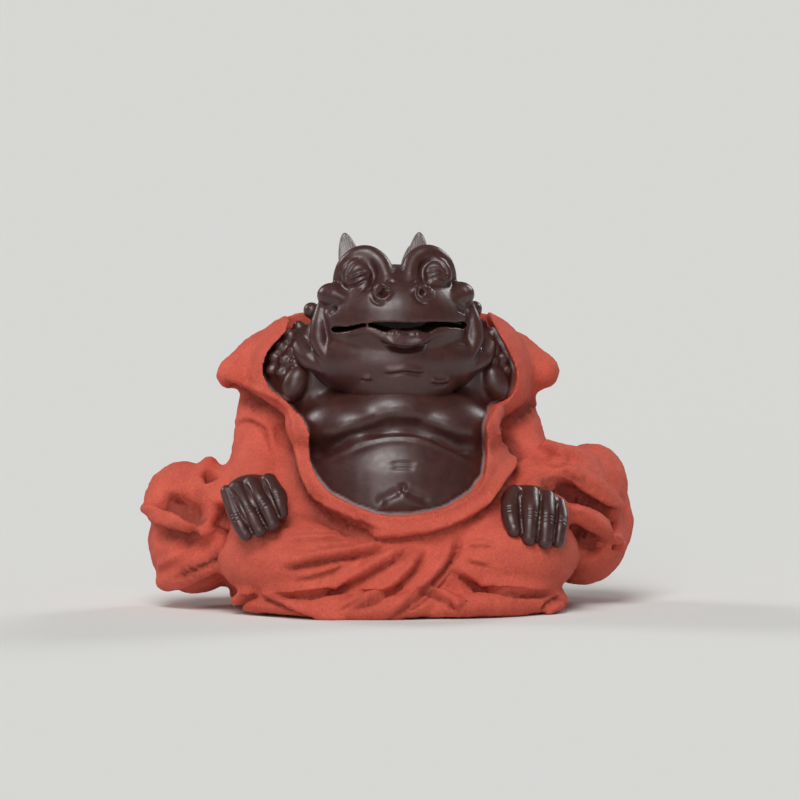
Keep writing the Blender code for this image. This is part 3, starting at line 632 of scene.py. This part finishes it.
def cut(mesh, cutter):
    """The mesh less the cutter."""
    lump = in_scene("lump", mesh)
    tool = in_scene("tool", cutter)
    boolean = lump.modifiers.new("cut", "BOOLEAN")
    boolean.operation = "DIFFERENCE"
    boolean.solver = "EXACT"
    boolean.object = tool
    made = settled(lump)
    bpy.data.objects.remove(tool)
    return made


def on_side(place, side):
    """The place on the toad's left (+1) or right (-1) side."""
    return Vector((side * place[0], place[1], place[2]))


def grown(radii, by):
    return [radius + by for radius in radii]


def camera_axes():
    """The photograph's directions to the right, up and into the picture."""
    turn, rise = CAMERA_TURN, CAMERA_RISE
    right = Vector((math.cos(turn), math.sin(turn), 0))
    back = Vector((math.sin(turn) * math.cos(rise), -math.cos(turn) * math.cos(rise), math.sin(rise)))
    return right, back.cross(right), -back


def smooth_line(knots, count):
    """count points on a smooth curve through the knots."""
    knots = [Vector(knot) for knot in knots]
    ends = [2 * knots[0] - knots[1], *knots, 2 * knots[-1] - knots[-2]]
    line = []
    for step in range(count):
        where = step / (count - 1) * (len(knots) - 1)
        index = min(int(where), len(knots) - 2)
        t = where - index
        a, b, c, d = ends[index : index + 4]
        pull = (c - a) * t + (2 * a - 5 * b + 4 * c - d) * t**2 + (3 * b - a - 3 * c + d) * t**3
        line.append(b + 0.5 * pull)
    return line


def rows_of(mesh, name):
    """The mesh's places ("co") or normals, a row for each vertex."""
    values = np.empty(len(mesh.vertices) * 3)
    mesh.vertices.foreach_get(name, values)
    return values.reshape(-1, 3)


class Skin:
    """The skin of a piece of clay while it is carved: strokes add up, and settle() moves the clay."""

    def __init__(self, mesh):
        self.mesh = mesh
        self.tree = BVHTree.FromPolygons([v.co for v in mesh.vertices], [p.vertices for p in mesh.polygons])
        self.tone = np.zeros(len(mesh.vertices))
        self.read()

    def read(self):
        self.mesh.update()
        self.places = rows_of(self.mesh, "co")
        self.normals = rows_of(self.mesh, "normal")
        self.lift = np.zeros(len(self.places))

    def laid(self, places, aim):
        """The places, moved along aim onto the skin."""
        line = []
        for place in places:
            hit = self.tree.ray_cast(place - FAR * aim, aim)[0]
            line.append(hit or self.tree.find_nearest(place)[0])
        return line

    def seen(self, knots, count):
        """A smooth line through pixels of the photograph, on the skin as the camera sees it."""
        right, up, into = camera_axes()
        places = []
        for pixel in smooth_line([(*knot, 0) for knot in knots], count):
            across = (pixel.x - ORIGIN_PIXEL[0]) * PIXEL
            rise = (ORIGIN_PIXEL[1] - pixel.y) * PIXEL
            places.append(right * across + up * rise)
        return self.laid(places, into)

    def facing(self, knots, side=1, aim=1, count=40):
        """A smooth line through (x, z) knots, on the skin as seen along +Y, or along -Y with aim -1."""
        places = smooth_line([(side * x, 0, z) for x, z in knots], count)
        return self.laid(places, Vector((0, aim, 0)))

    def beside(self, line, reach):
        """The vertices within reach of a line: which, how far, how far to its left, and where along it."""
        points = np.array(line)
        low = points.min(axis=0) - reach
        high = points.max(axis=0) + reach
        which = np.nonzero(np.all((self.places > low) & (self.places < high), axis=1))[0]
        places = self.places[which]
        normals = self.normals[which]
        near = np.full(len(which), np.inf)
        side = np.zeros(len(which))
        share = np.zeros(len(which))
        for index in range(len(points) - 1):
            start = points[index]
            along = points[index + 1] - start
            length = max(along @ along, 1e-9)
            t = np.clip((places - start) @ along / length, 0, 1)
            away = places - start - t[:, None] * along
            far = np.sqrt(np.einsum("ij,ij->i", away, away))
            closer = far < near
            near[closer] = far[closer]
            leftward = np.cross(normals[closer], along / math.sqrt(length))
            side[closer] = np.einsum("ij,ij->i", away[closer], leftward)
            share[closer] = (index + t[closer]) / (len(points) - 1)
        return which, near, side, share

    def draw(self, line, width, lift, ends=0.25, tone=0.0):
        """Raises a soft ridge along the line, or with a lift below zero presses a groove."""
        which, near, _, share = self.beside(line, STROKE_REACH * width)
        weight = hump(near, 0, width) * fading(share, ends)
        self.lift[which] += lift * weight
        # The tone paints shade along the line
        self.tone[which] += tone * weight

    def fold(self, line, width, lift, ends=0.25, tone=0.0):
        """Lifts the skin on the line's left into a rounded fold that drops to a crease on its right."""
        which, near, side, share = self.beside(line, STROKE_REACH * width)
        crest = hump(side / width, *FOLD_CREST)
        crease = hump(side / width, *FOLD_CREASE)
        fade = fading(share, ends) * np.clip(STROKE_REACH - near / width, 0, 1)
        self.lift[which] += lift * (crest - FOLD_DROP * crease) * fade
        # The tone paints shade into the crease
        self.tone[which] += tone * crease * fade

    def carve(self, strokes):
        """Carves every line of the strokes."""
        for stroke in strokes:
            make = self.fold if stroke.fold else self.draw
            for line in stroke.lines:
                make(self.seen(line, stroke.count), stroke.width, stroke.lift, stroke.ends, stroke.tone)

    def settle(self):
        """Moves the clay by the strokes so far."""
        self.mesh.vertices.foreach_set("co", (self.places + self.normals * self.lift[:, None]).ravel())
        self.read()

    def dust(self, beside, reach):
        """Sets a pale tone where the skin comes within reach of another piece."""
        places = [v.co / UNIT for v in beside.data.vertices]
        tree = BVHTree.FromPolygons(places, [p.vertices for p in beside.data.polygons])
        for index, place in enumerate(self.places):
            if self.normals[index][1] < DUST_FACING:
                far = tree.find_nearest(Vector(place), 2 * reach)[3]
                if far is not None:
                    self.tone[index] = max(self.tone[index], min(1, 2 - far / reach))

    def keep_tone(self):
        """Keeps the strokes' tone with the mesh, for its material."""
        kept = self.mesh.attributes.new(TONE, "FLOAT", "POINT")
        kept.data.foreach_set("value", self.tone)


def hump(values, middle, width):
    """1 where the values are at the middle, falling softly to 0 on both sides."""
    return np.exp(-(((values - middle) / width) ** 2))


def fading(share, ends):
    """1 along a line, falling softly to 0 over its two ends."""
    t = np.clip(np.minimum(share, 1 - share) / max(ends, 1e-3), 0, 1)
    return t * t * (3 - 2 * t)


def stippled(mesh):
    """The cloth with its grain pressed in: fine all over, and coarse where the tone marks a valley."""
    lump = in_scene("lump", mesh)
    tone = mesh.attributes[TONE].data
    valleys = lump.vertex_groups.new(name="valleys")
    for index, entry in enumerate(tone):
        if entry.value > LEAST_TONE:
            valleys.add([index], min(1.0, entry.value), "REPLACE")
    for size, strength, group in STIPPLE:
        texture = bpy.data.textures.new("grain", "CLOUDS")
        texture.noise_scale = size
        texture.noise_depth = 2
        ruffle = lump.modifiers.new("ruffle", "DISPLACE")
        ruffle.texture = texture
        ruffle.strength = strength
        ruffle.mid_level = 0.5
        ruffle.texture_coords = "LOCAL"
        ruffle.vertex_group = group
    return settled(lump)


def thinned(mesh, triangles):
    """The mesh with at most that many triangles."""
    lump = in_scene("lump", mesh)
    thin = lump.modifiers.new("thin", "DECIMATE")
    thin.ratio = min(1.0, triangles / (2 * len(mesh.polygons)))
    thin.use_collapse_triangulate = True
    return settled(lump)


def set_down(name, mesh, node, slot):
    """Sets the finished piece down in its slot's clay, at the frame's size and on the frame's body."""
    mesh.polygons.foreach_set("use_smooth", [True] * len(mesh.polygons))
    mesh.transform(Matrix.Scale(UNIT, 4))
    mesh.name = name
    mesh.materials.clear()
    mesh.materials.append(CLAYS[slot](bpy.context.scene.teapet_finish))
    piece = in_scene(name, mesh)
    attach(piece, "root")
    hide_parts(node)


def linear(shade):
    """A colour as the shader wants it, from the value seen on screen."""
    return [((c + 0.055) / 1.055) ** 2.4 if c > 0.04045 else c / 12.92 for c in shade[:3]] + [1.0]


class Nodes:
    """A small helper that adds shader nodes to a new material."""

    def __init__(self, name):
        self.material = bpy.data.materials.new(name)
        self.material.use_nodes = True
        self.tree = self.material.node_tree
        self.shader = self.tree.nodes["Principled BSDF"]

    def add(self, kind, **settings):
        node = self.tree.nodes.new(kind)
        for name, value in settings.items():
            setattr(node, name, value)
        return node

    def link(self, source, target):
        self.tree.links.new(source, target)

    def give(self, target, value):
        """Gives an input a constant, or links a socket to it."""
        if hasattr(value, "is_linked"):
            self.link(value, target)
        else:
            target.default_value = value

    def shade(self, name, value):
        """Gives one of the shader's own inputs a constant or a socket."""
        self.give(self.shader.inputs[name], value)

    def noise(self, size, detail=4.0, roughness=0.55, stretch=(1, 1, 1), turn=(0, 0, 0)):
        """Noise with lumps about that many millimetres across, which stretch and turn draw into strokes."""
        noise = self.add("ShaderNodeTexNoise")
        mapping = self.add("ShaderNodeMapping")
        mapping.inputs["Scale"].default_value = stretch
        mapping.inputs["Rotation"].default_value = turn
        noise.inputs["Scale"].default_value = 1 / (size * UNIT)
        noise.inputs["Detail"].default_value = detail
        noise.inputs["Roughness"].default_value = roughness
        self.link(self.add("ShaderNodeTexCoord").outputs["Object"], mapping.inputs["Vector"])
        self.link(mapping.outputs["Vector"], noise.inputs["Vector"])
        return noise.outputs["Fac"]

    def ramp(self, source, stops):
        """A colour or value ramp: each stop is a place and a colour."""
        ramp = self.add("ShaderNodeValToRGB")
        elements = ramp.color_ramp.elements
        while len(elements) < len(stops):
            elements.new(0.5)
        for element, (place, colour) in zip(elements, stops):
            element.position = place
            element.color = colour
        self.link(source, ramp.inputs["Fac"])
        return ramp.outputs["Color"]

    def mix(self, share, first, second):
        """Mixes two colours. share may be a number or a socket."""
        mix = self.add("ShaderNodeMix", data_type="RGBA")
        for value, index in ((share, 0), (first, 6), (second, 7)):
            self.give(mix.inputs[index], value)
        return mix.outputs[2]

    def bump(self, height, distance, strength, onto=None):
        bump = self.add("ShaderNodeBump")
        bump.inputs["Strength"].default_value = strength
        bump.inputs["Distance"].default_value = distance * UNIT
        self.link(height, bump.inputs["Height"])
        if onto:
            self.link(onto, bump.inputs["Normal"])
        return bump.outputs["Normal"]


def grey(value):
    return (value, value, value, 1.0)


def dark_clay(finish):
    """Fine dark clay, burnished: satin, with a faint mottle, fine pits, paler dust along the joint and a
    painted sheen on the crest.
    """
    clay = Nodes("dark_clay")
    base = linear(finish.dark_colour)
    paler = linear([c * 1.1 + 0.01 for c in finish.dark_colour])
    deeper = linear([c * 0.9 for c in finish.dark_colour])
    mottle = clay.ramp(clay.noise(2.5), [(0.3, deeper), (0.5, base), (0.7, paler)])
    speck = clay.ramp(clay.noise(0.3, detail=2.0), [(0.64, grey(0)), (0.74, grey(0.35))])
    flecked = clay.mix(speck, mottle, linear([c * 1.5 for c in finish.dark_colour]))
    # The tone mixes in the pale colour: dust along the joint, and over the whole crest a painted sheen
    tone = clay.add("ShaderNodeAttribute", attribute_name=TONE).outputs["Fac"]
    rim = clay.ramp(tone, [(0.0, grey(0)), (1.0, grey(1))])
    clay.shade("Base Color", clay.mix(rim, flecked, linear(finish.dust_and_sheen_colour)))
    clay.shade("Roughness", clay.ramp(clay.noise(1.2), [(0.3, grey(0.33)), (0.7, grey(0.43))]))
    fine = clay.bump(clay.noise(0.18, detail=3.0), distance=0.02, strength=0.3)
    clay.shade("Normal", clay.bump(clay.noise(1.4, detail=3.0), distance=0.08, strength=0.2, onto=fine))
    clay.shade("Specular IOR Level", 0.6)
    return clay.material


def red_clay(finish):
    """Coarse red clay left as it was brushed: matt, grainy, darker in pits, with painted shade in its
    creases and valleys.
    """
    clay = Nodes("red_clay")
    base = linear(finish.red_colour)
    paler = linear([min(1.0, c * 1.06 + 0.03) for c in finish.red_colour])
    deeper = linear([c * 0.74 for c in finish.red_colour])
    painted_shade = linear([c * 0.5 for c in finish.red_colour])
    wash = clay.ramp(clay.noise(5.0), [(0.35, base), (0.7, paler)])
    grain = clay.noise(0.45, detail=5.0, roughness=0.7)
    brushed = clay.noise(0.35, detail=5.0, roughness=0.7, stretch=(1, 1, 0.3), turn=(0.2, 0.6, 0.5))
    pitted = clay.mix(clay.ramp(grain, [(0.3, grey(0.5)), (0.6, grey(0))]), wash, deeper)
    grained = clay.mix(clay.ramp(brushed, [(0.5, grey(0)), (0.75, grey(0.7))]), pitted, paler)
    # The strokes' tone paints shade into the creases, valleys and gaps
    tone = clay.add("ShaderNodeAttribute", attribute_name=TONE).outputs["Fac"]
    with_painted_shade = clay.mix(clay.ramp(tone, [(0.0, grey(0)), (1.0, grey(0.6))]), grained, painted_shade)
    clay.shade("Base Color", with_painted_shade)
    clay.shade("Roughness", 0.75)
    clay.shade("Specular IOR Level", 0.35)
    strokes = clay.bump(brushed, distance=0.16, strength=0.9)
    coarse = clay.bump(grain, distance=0.28, strength=0.9, onto=strokes)
    pits = clay.noise(0.2, detail=3.0, roughness=0.7)
    clay.shade("Normal", clay.bump(pits, distance=0.06, strength=0.7, onto=coarse))
    return clay.material


CLAYS = {"dark_clay": dark_clay, "red_clay": red_clay}


def colour(name, description, default):
    """A colour that the panel takes as it is seen on screen."""
    return bpy.props.FloatVectorProperty(
        name=name, description=description, subtype="COLOR_GAMMA", default=default, min=0, max=1
    )


class ToadFinish(bpy.types.PropertyGroup):
    """The two clays."""

    dark_colour: colour("Dark clay", "Colour of the toad's fired clay", (0.25, 0.132, 0.117))
    # Pale colour of the dust in the joint, also mixed over the crest as a painted sheen
    dust_and_sheen_colour: colour("Rim", "Colour of the dust in the joint between toad and robe", (0.60, 0.57, 0.57))
    red_colour: colour("Red clay", "Colour of the robe's fired clay", (0.80, 0.34, 0.265))


class ToadStage(bpy.types.PropertyGroup):
    """The floor and the lamps."""

    floor_colour: colour("Floor", "Colour of the floor and the backdrop", (0.86, 0.86, 0.85))
    key_strength: bpy.props.FloatProperty(
        name="Key lamp", description="Strength of the lamp above and before the toad", default=2.4, min=0
    )
    ambient: bpy.props.FloatProperty(
        name="Ambient", description="Strength of the even light from all round", default=0.12, min=0
    )


def toad_masses():
    """The toad's large forms below the head."""
    clay = bmesh.new()
    press_ball(clay, BELLY_AT, BELLY)
    for side in (-1, 1):
        press_ball(clay, on_side(BREAST_AT, side), BREAST)
        press_ball(clay, on_side(YOKE_AT, side), YOKE)
    press_ball(clay, CHEST_AT, CHEST)
    press_ball(clay, NECK_AT, NECK)
    return fused(clay, voxel=1.0, softening=5)


class TEAPET_OT_body(bpy.types.Operator):
    """Sculpt the toad's chest, belly and warty shoulders"""

    bl_idname = "teapet.body"
    bl_label = "Body"

    def execute(self, context):
        masses = toad_masses()
        guide = Skin(masses)
        clay = bmesh.new()
        for side in (-1, 1):
            for x, z, radius in WARTS:
                on_skin = guide.facing([(x, z), (x + 0.1, z)], side, count=2)[0]
                press_ball(clay, on_skin, (radius, radius, radius))
            press_ball(clay, on_side(GLAND_AT, side), GLAND, (0, -side * GLAND_TURN, 0))
        clay.from_mesh(masses)
        skin = Skin(fused(clay, BODY_VOXEL))
        skin.carve(BODY_STROKES)
        skin.settle()
        robe = bpy.data.objects.get("robe_cloth")
        if robe:
            skin.dust(robe, JOINT_WIDTH)
        skin.keep_tone()
        set_down("toad_body", skin.mesh, "toad", "dark_clay")
        return {"FINISHED"}


def head_masses():
    """The head's large forms."""
    clay = bmesh.new()
    press_ball(clay, THROAT_AT, THROAT)
    press_ball(clay, DEWLAP_AT, DEWLAP)
    press_ball(clay, JAW_AT, JAW)
    press_ball(clay, SKULL_AT, SKULL)
    press_ball(clay, NAPE_AT, NAPE)
    press_ball(clay, MUZZLE_AT, MUZZLE)
    for side in (-1, 1):
        press_ball(clay, on_side(JOWL_AT, side), JOWL)
        press_roll(clay, HOOD, HOOD_RADII, side)
    return fused(clay, voxel=0.5, softening=7)


def press_face(clay, side):
    """One side of the face: the closed eye, nostril, cheek, jaw rolls and temple."""
    press_ball(clay, on_side(EYE_AT, side), EYE, (0, side * EYE_TURN, 0))
    press_ball(clay, on_side(NOSTRIL_AT, side), NOSTRIL)
    press_ball(clay, on_side(CHEEK_AT, side), CHEEK)
    press_roll(clay, CHEEK_TAIL, CHEEK_TAIL_RADII, side)
    press_roll(clay, INNER_JAW, INNER_JAW_RADII, side)
    press_roll(clay, OUTER_JAW, OUTER_JAW_RADII, side)
    for path in CORNER_FOLDS:
        press_roll(clay, path, CORNER_FOLD_RADII, side)
    press_ball(clay, on_side(TEMPLE_AT, side), TEMPLE)


class TEAPET_OT_head(bpy.types.Operator):
    """Sculpt the toad's head, with its face and throat"""

    bl_idname = "teapet.head"
    bl_label = "Head"

    def execute(self, context):
        clay = bmesh.new()
        for side in (-1, 1):
            press_face(clay, side)
        clay.from_mesh(head_masses())
        mouth = prism(UPPER_LIP + LOWER_LIP, MOUTH_FRONT_Y, MOUTH_DEPTH_Y)
        head = cut(fused(clay, HEAD_VOXEL), mouth)
        clay = bmesh.new()
        clay.from_mesh(head)
        skin = Skin(fused(clay, HEAD_VOXEL))
        skin.carve(HEAD_STROKES)
        skin.settle()
        skin.keep_tone()
        set_down("toad_head", skin.mesh, "toad", "dark_clay")
        return {"FINISHED"}


class TEAPET_OT_crest(bpy.types.Operator):
    """Form the crest of leaf-shaped fins behind the toad's eyes"""

    bl_idname = "teapet.crest"
    bl_label = "Crest"

    def execute(self, context):
        clay = bmesh.new()
        for side in (-1, 1):
            for x, y, z, half_height, half_width in FINS:
                turn = (FIN_LEAN, side * FIN_SPLAY, 0)
                press_leaf(clay, on_side((x, y, z), side), half_height, half_width, turn)
        mesh = bpy.data.meshes.new("crest")
        clay.to_mesh(mesh)
        clay.free()
        # The whole crest takes a share of the pale joint colour, as a painted grey sheen
        pale = mesh.attributes.new(TONE, "FLOAT", "POINT")
        pale.data.foreach_set("value", [CREST_PAINTED_SHEEN] * len(mesh.vertices))
        set_down("toad_crest", mesh, "toad", "dark_clay")
        return {"FINISHED"}


def robe_masses():
    """The robe's large forms, over the toad's own: seat, back, knees, lap, cape, arms, sleeves and hem."""
    clay = bmesh.new()
    press_ball(clay, SEAT_AT, SEAT)
    press_ball(clay, BACK_AT, BACK)
    press_ball(clay, LAP_AT, LAP)
    press_ball(clay, BELLY_AT, grown(BELLY, CLOTH))
    for side in (-1, 1):
        press_ball(clay, on_side(KNEE_AT, side), KNEE)
        press_ball(clay, on_side(YOKE_AT, side), grown(YOKE, CLOTH))
        press_ball(clay, on_side(BREAST_AT, side), grown(BREAST, CLOTH))
        press_roll(clay, CAPE, CAPE_RADII, side)
        press_roll(clay, ARM, ARM_RADII, side)
    for at, radii in RIGHT_SLEEVE_BALLS + LEFT_SLEEVE_BALLS:
        press_ball(clay, at, radii)
    for path, radii in RIGHT_SLEEVE_ROLLS + LEFT_SLEEVE_ROLLS + HEM_ROLLS:
        press_roll(clay, path, radii)
    return fused(clay, voxel=0.9, softening=4)


def sleeve_mouths():
    clay = bmesh.new()
    press_roll(clay, RIGHT_SLEEVE_MOUTH, RIGHT_SLEEVE_MOUTH_RADII)
    press_roll(clay, LEFT_SLEEVE_MOUTH, LEFT_SLEEVE_MOUTH_RADII)
    return fused(clay, voxel=0.5, softening=1)


def flattened(mesh):
    """The mesh with what lies below the ground pressed flat onto it."""
    places = rows_of(mesh, "co")
    places[:, 2] = np.maximum(places[:, 2], 0)
    mesh.vertices.foreach_set("co", places.ravel())
    return mesh


class TEAPET_OT_robe(bpy.types.Operator):
    """Sculpt the robe, with its lapels, sleeves, folds and hem"""

    bl_idname = "teapet.robe"
    bl_label = "Robe"

    def execute(self, context):
        clay = bmesh.new()
        opening = prism(OPENING, OPENING_FRONT_Y, OPENING_BACK_Y)
        clay.from_mesh(cut(cut(robe_masses(), sleeve_mouths()), opening))
        skin = Skin(fused(clay, ROBE_VOXEL))
        skin.carve(ROBE_STROKES)
        # Each fold down the back paints shade into its crease
        for line in BACK_FOLDS:
            skin.fold(skin.facing(line, aim=-1), width=2.4, lift=1.2, tone=0.5)
        skin.settle()
        skin.keep_tone()
        mesh = flattened(thinned(stippled(skin.mesh), ROBE_TRIANGLES))
        set_down("robe_cloth", mesh, "robe", "red_clay")
        return {"FINISHED"}


def crease_finger(skin, path, radii, share):
    """A fine crease across a finger's front, at a share of its way from knuckle to tip."""
    places = smooth_line(path, FINGER_STEPS + 1)
    index = round(share * FINGER_STEPS)
    along = (places[index + 1] - places[index - 1]).normalized()
    across = along.cross(Vector((0, 1, 0))).normalized()
    out = across.cross(along)
    if out.y > 0:
        out = -out
    radius = radii[round(share * (len(radii) - 1))]
    line = []
    for step in range(CREASE_STEPS + 1):
        angle = math.radians(CREASE_START + CREASE_SWEEP * step / CREASE_STEPS)
        place = places[index] + radius * (math.cos(angle) * across + math.sin(angle) * out)
        line.append(skin.tree.find_nearest(place)[0])
    skin.draw(line, width=0.18, lift=-0.14, ends=0.3)


class TEAPET_OT_hands(bpy.types.Operator):
    """Sculpt the two hands that rest on the knees"""

    bl_idname = "teapet.hands"
    bl_label = "Hands"

    def execute(self, context):
        for name, palm, paths, all_radii, grooves in (
            ("right_hand", RIGHT_PALM, RIGHT_FINGERS, RIGHT_FINGER_RADII, FINGER_GROOVES[0]),
            ("left_hand", LEFT_PALM, LEFT_FINGERS, LEFT_FINGER_RADII, FINGER_GROOVES[1]),
        ):
            clay = bmesh.new()
            press_ball(clay, *palm)
            for path, radii in zip(paths, all_radii):
                press_roll(clay, path, grown(radii, FINGER_FULLNESS))
                tip = radii[-1] + FINGERTIP
                press_ball(clay, path[-1], (tip, tip, tip))
            skin = Skin(fused(clay, HAND_VOXEL, softening=3))
            skin.carve([Stroke(grooves, width=0.4, lift=-0.5, ends=0.15)])
            for path, radii in zip(paths, all_radii):
                for share in FINGER_CREASES:
                    crease_finger(skin, path, radii, share)
            skin.settle()
            skin.keep_tone()
            set_down(name + "_clay", skin.mesh, name, "dark_clay")
        return {"FINISHED"}


def add_lamp(name, azimuth, rise, softness, strength):
    """A soft distant lamp that shines from an azimuth and a rise, in degrees."""
    lamp = bpy.data.lights.new(name, "SUN")
    lamp.energy = strength
    lamp.angle = math.radians(softness)
    thing = bpy.data.objects.new(name, lamp)
    turn, lift = math.radians(azimuth), math.radians(rise)
    place = Vector((math.sin(turn) * math.cos(lift), -math.cos(turn) * math.cos(lift), math.sin(lift)))
    thing.location = place
    thing.rotation_euler = place.to_track_quat("Z", "Y").to_euler()
    bpy.context.scene.collection.objects.link(thing)


def pale_world(shade, ambient):
    """A world that lights evenly and shows the floor's colour behind it."""
    world = bpy.data.worlds.new("studio")
    world.use_nodes = True
    tree = world.node_tree
    light = tree.nodes["Background"]
    light.inputs["Color"].default_value = grey(1)
    light.inputs["Strength"].default_value = ambient
    backdrop = tree.nodes.new("ShaderNodeBackground")
    backdrop.inputs["Color"].default_value = linear(shade)
    path = tree.nodes.new("ShaderNodeLightPath")
    mix = tree.nodes.new("ShaderNodeMixShader")
    tree.links.new(path.outputs["Is Camera Ray"], mix.inputs[0])
    tree.links.new(light.outputs[0], mix.inputs[1])
    tree.links.new(backdrop.outputs[0], mix.inputs[2])
    tree.links.new(mix.outputs[0], tree.nodes["World Output"].inputs["Surface"])
    return world


class TEAPET_OT_stage(bpy.types.Operator):
    """Lay the floor and set the lamps and the camera"""

    bl_idname = "teapet.stage"
    bl_label = "Stage"

    def execute(self, context):
        stage = context.scene.teapet_stage
        clay = bmesh.new()
        bmesh.ops.create_grid(clay, x_segments=1, y_segments=1, size=FLOOR_REACH)
        mesh = bpy.data.meshes.new("floor")
        clay.to_mesh(mesh)
        clay.free()
        floor = in_scene("floor", mesh)
        paint = Nodes("floor")
        paint.shade("Base Color", linear(stage.floor_colour))
        paint.shade("Roughness", 1.0)
        paint.shade("Specular IOR Level", 0.0)
        mesh.materials.append(paint.material)

        context.scene.world = pale_world(stage.floor_colour, stage.ambient)
        for name, azimuth, rise, softness, share in LAMPS:
            add_lamp(name, azimuth, rise, softness, share * stage.key_strength)

        camera = bpy.data.cameras.new("camera")
        camera.sensor_width = 36
        camera.lens = camera.sensor_width * CAMERA_DISTANCE / (FRAME_PIXELS * PIXEL)
        camera.clip_end = 100
        thing = bpy.data.objects.new("camera", camera)
        right, up, into = camera_axes()
        across = (FRAME_PIXELS / 2 - ORIGIN_PIXEL[0]) * PIXEL
        rise = (ORIGIN_PIXEL[1] - FRAME_PIXELS / 2) * PIXEL
        thing.location = (right * across + up * rise - into * CAMERA_DISTANCE) * UNIT
        thing.rotation_euler = into.to_track_quat("-Z", "Y").to_euler()
        context.scene.collection.objects.link(thing)
        context.scene.camera = thing
        context.scene.view_settings.view_transform = "Standard"
        return {"FINISHED"}


class TEAPET_PT_panel(bpy.types.Panel):
    """The tea pet's clays and pieces"""

    bl_label = "Tea pet"
    bl_idname = "TEAPET_PT_panel"
    bl_space_type = "VIEW_3D"
    bl_region_type = "UI"
    bl_category = "Tea pet"

    def draw(self, context):
        for group in (context.scene.teapet_finish, context.scene.teapet_stage):
            for name in group.__annotations__:
                self.layout.prop(group, name)
        for operator in OPERATORS:
            self.layout.operator(operator.bl_idname)


OPERATORS = (
    TEAPET_OT_robe, TEAPET_OT_body, TEAPET_OT_head, TEAPET_OT_crest, TEAPET_OT_hands, TEAPET_OT_stage,
)
CLASSES = (ToadFinish, ToadStage, *OPERATORS, TEAPET_PT_panel)


def register():
    for item in CLASSES:
        bpy.utils.register_class(item)
    bpy.types.Scene.teapet_finish = bpy.props.PointerProperty(type=ToadFinish)
    bpy.types.Scene.teapet_stage = bpy.props.PointerProperty(type=ToadStage)


def unregister():
    del bpy.types.Scene.teapet_stage
    del bpy.types.Scene.teapet_finish
    for item in reversed(CLASSES):
        bpy.utils.unregister_class(item)


def main():
    register()
    bpy.ops.teapet.robe()
    bpy.ops.teapet.body()
    bpy.ops.teapet.head()
    bpy.ops.teapet.crest()
    bpy.ops.teapet.hands()
    bpy.ops.teapet.stage()


if __name__ == "__main__":
    main()
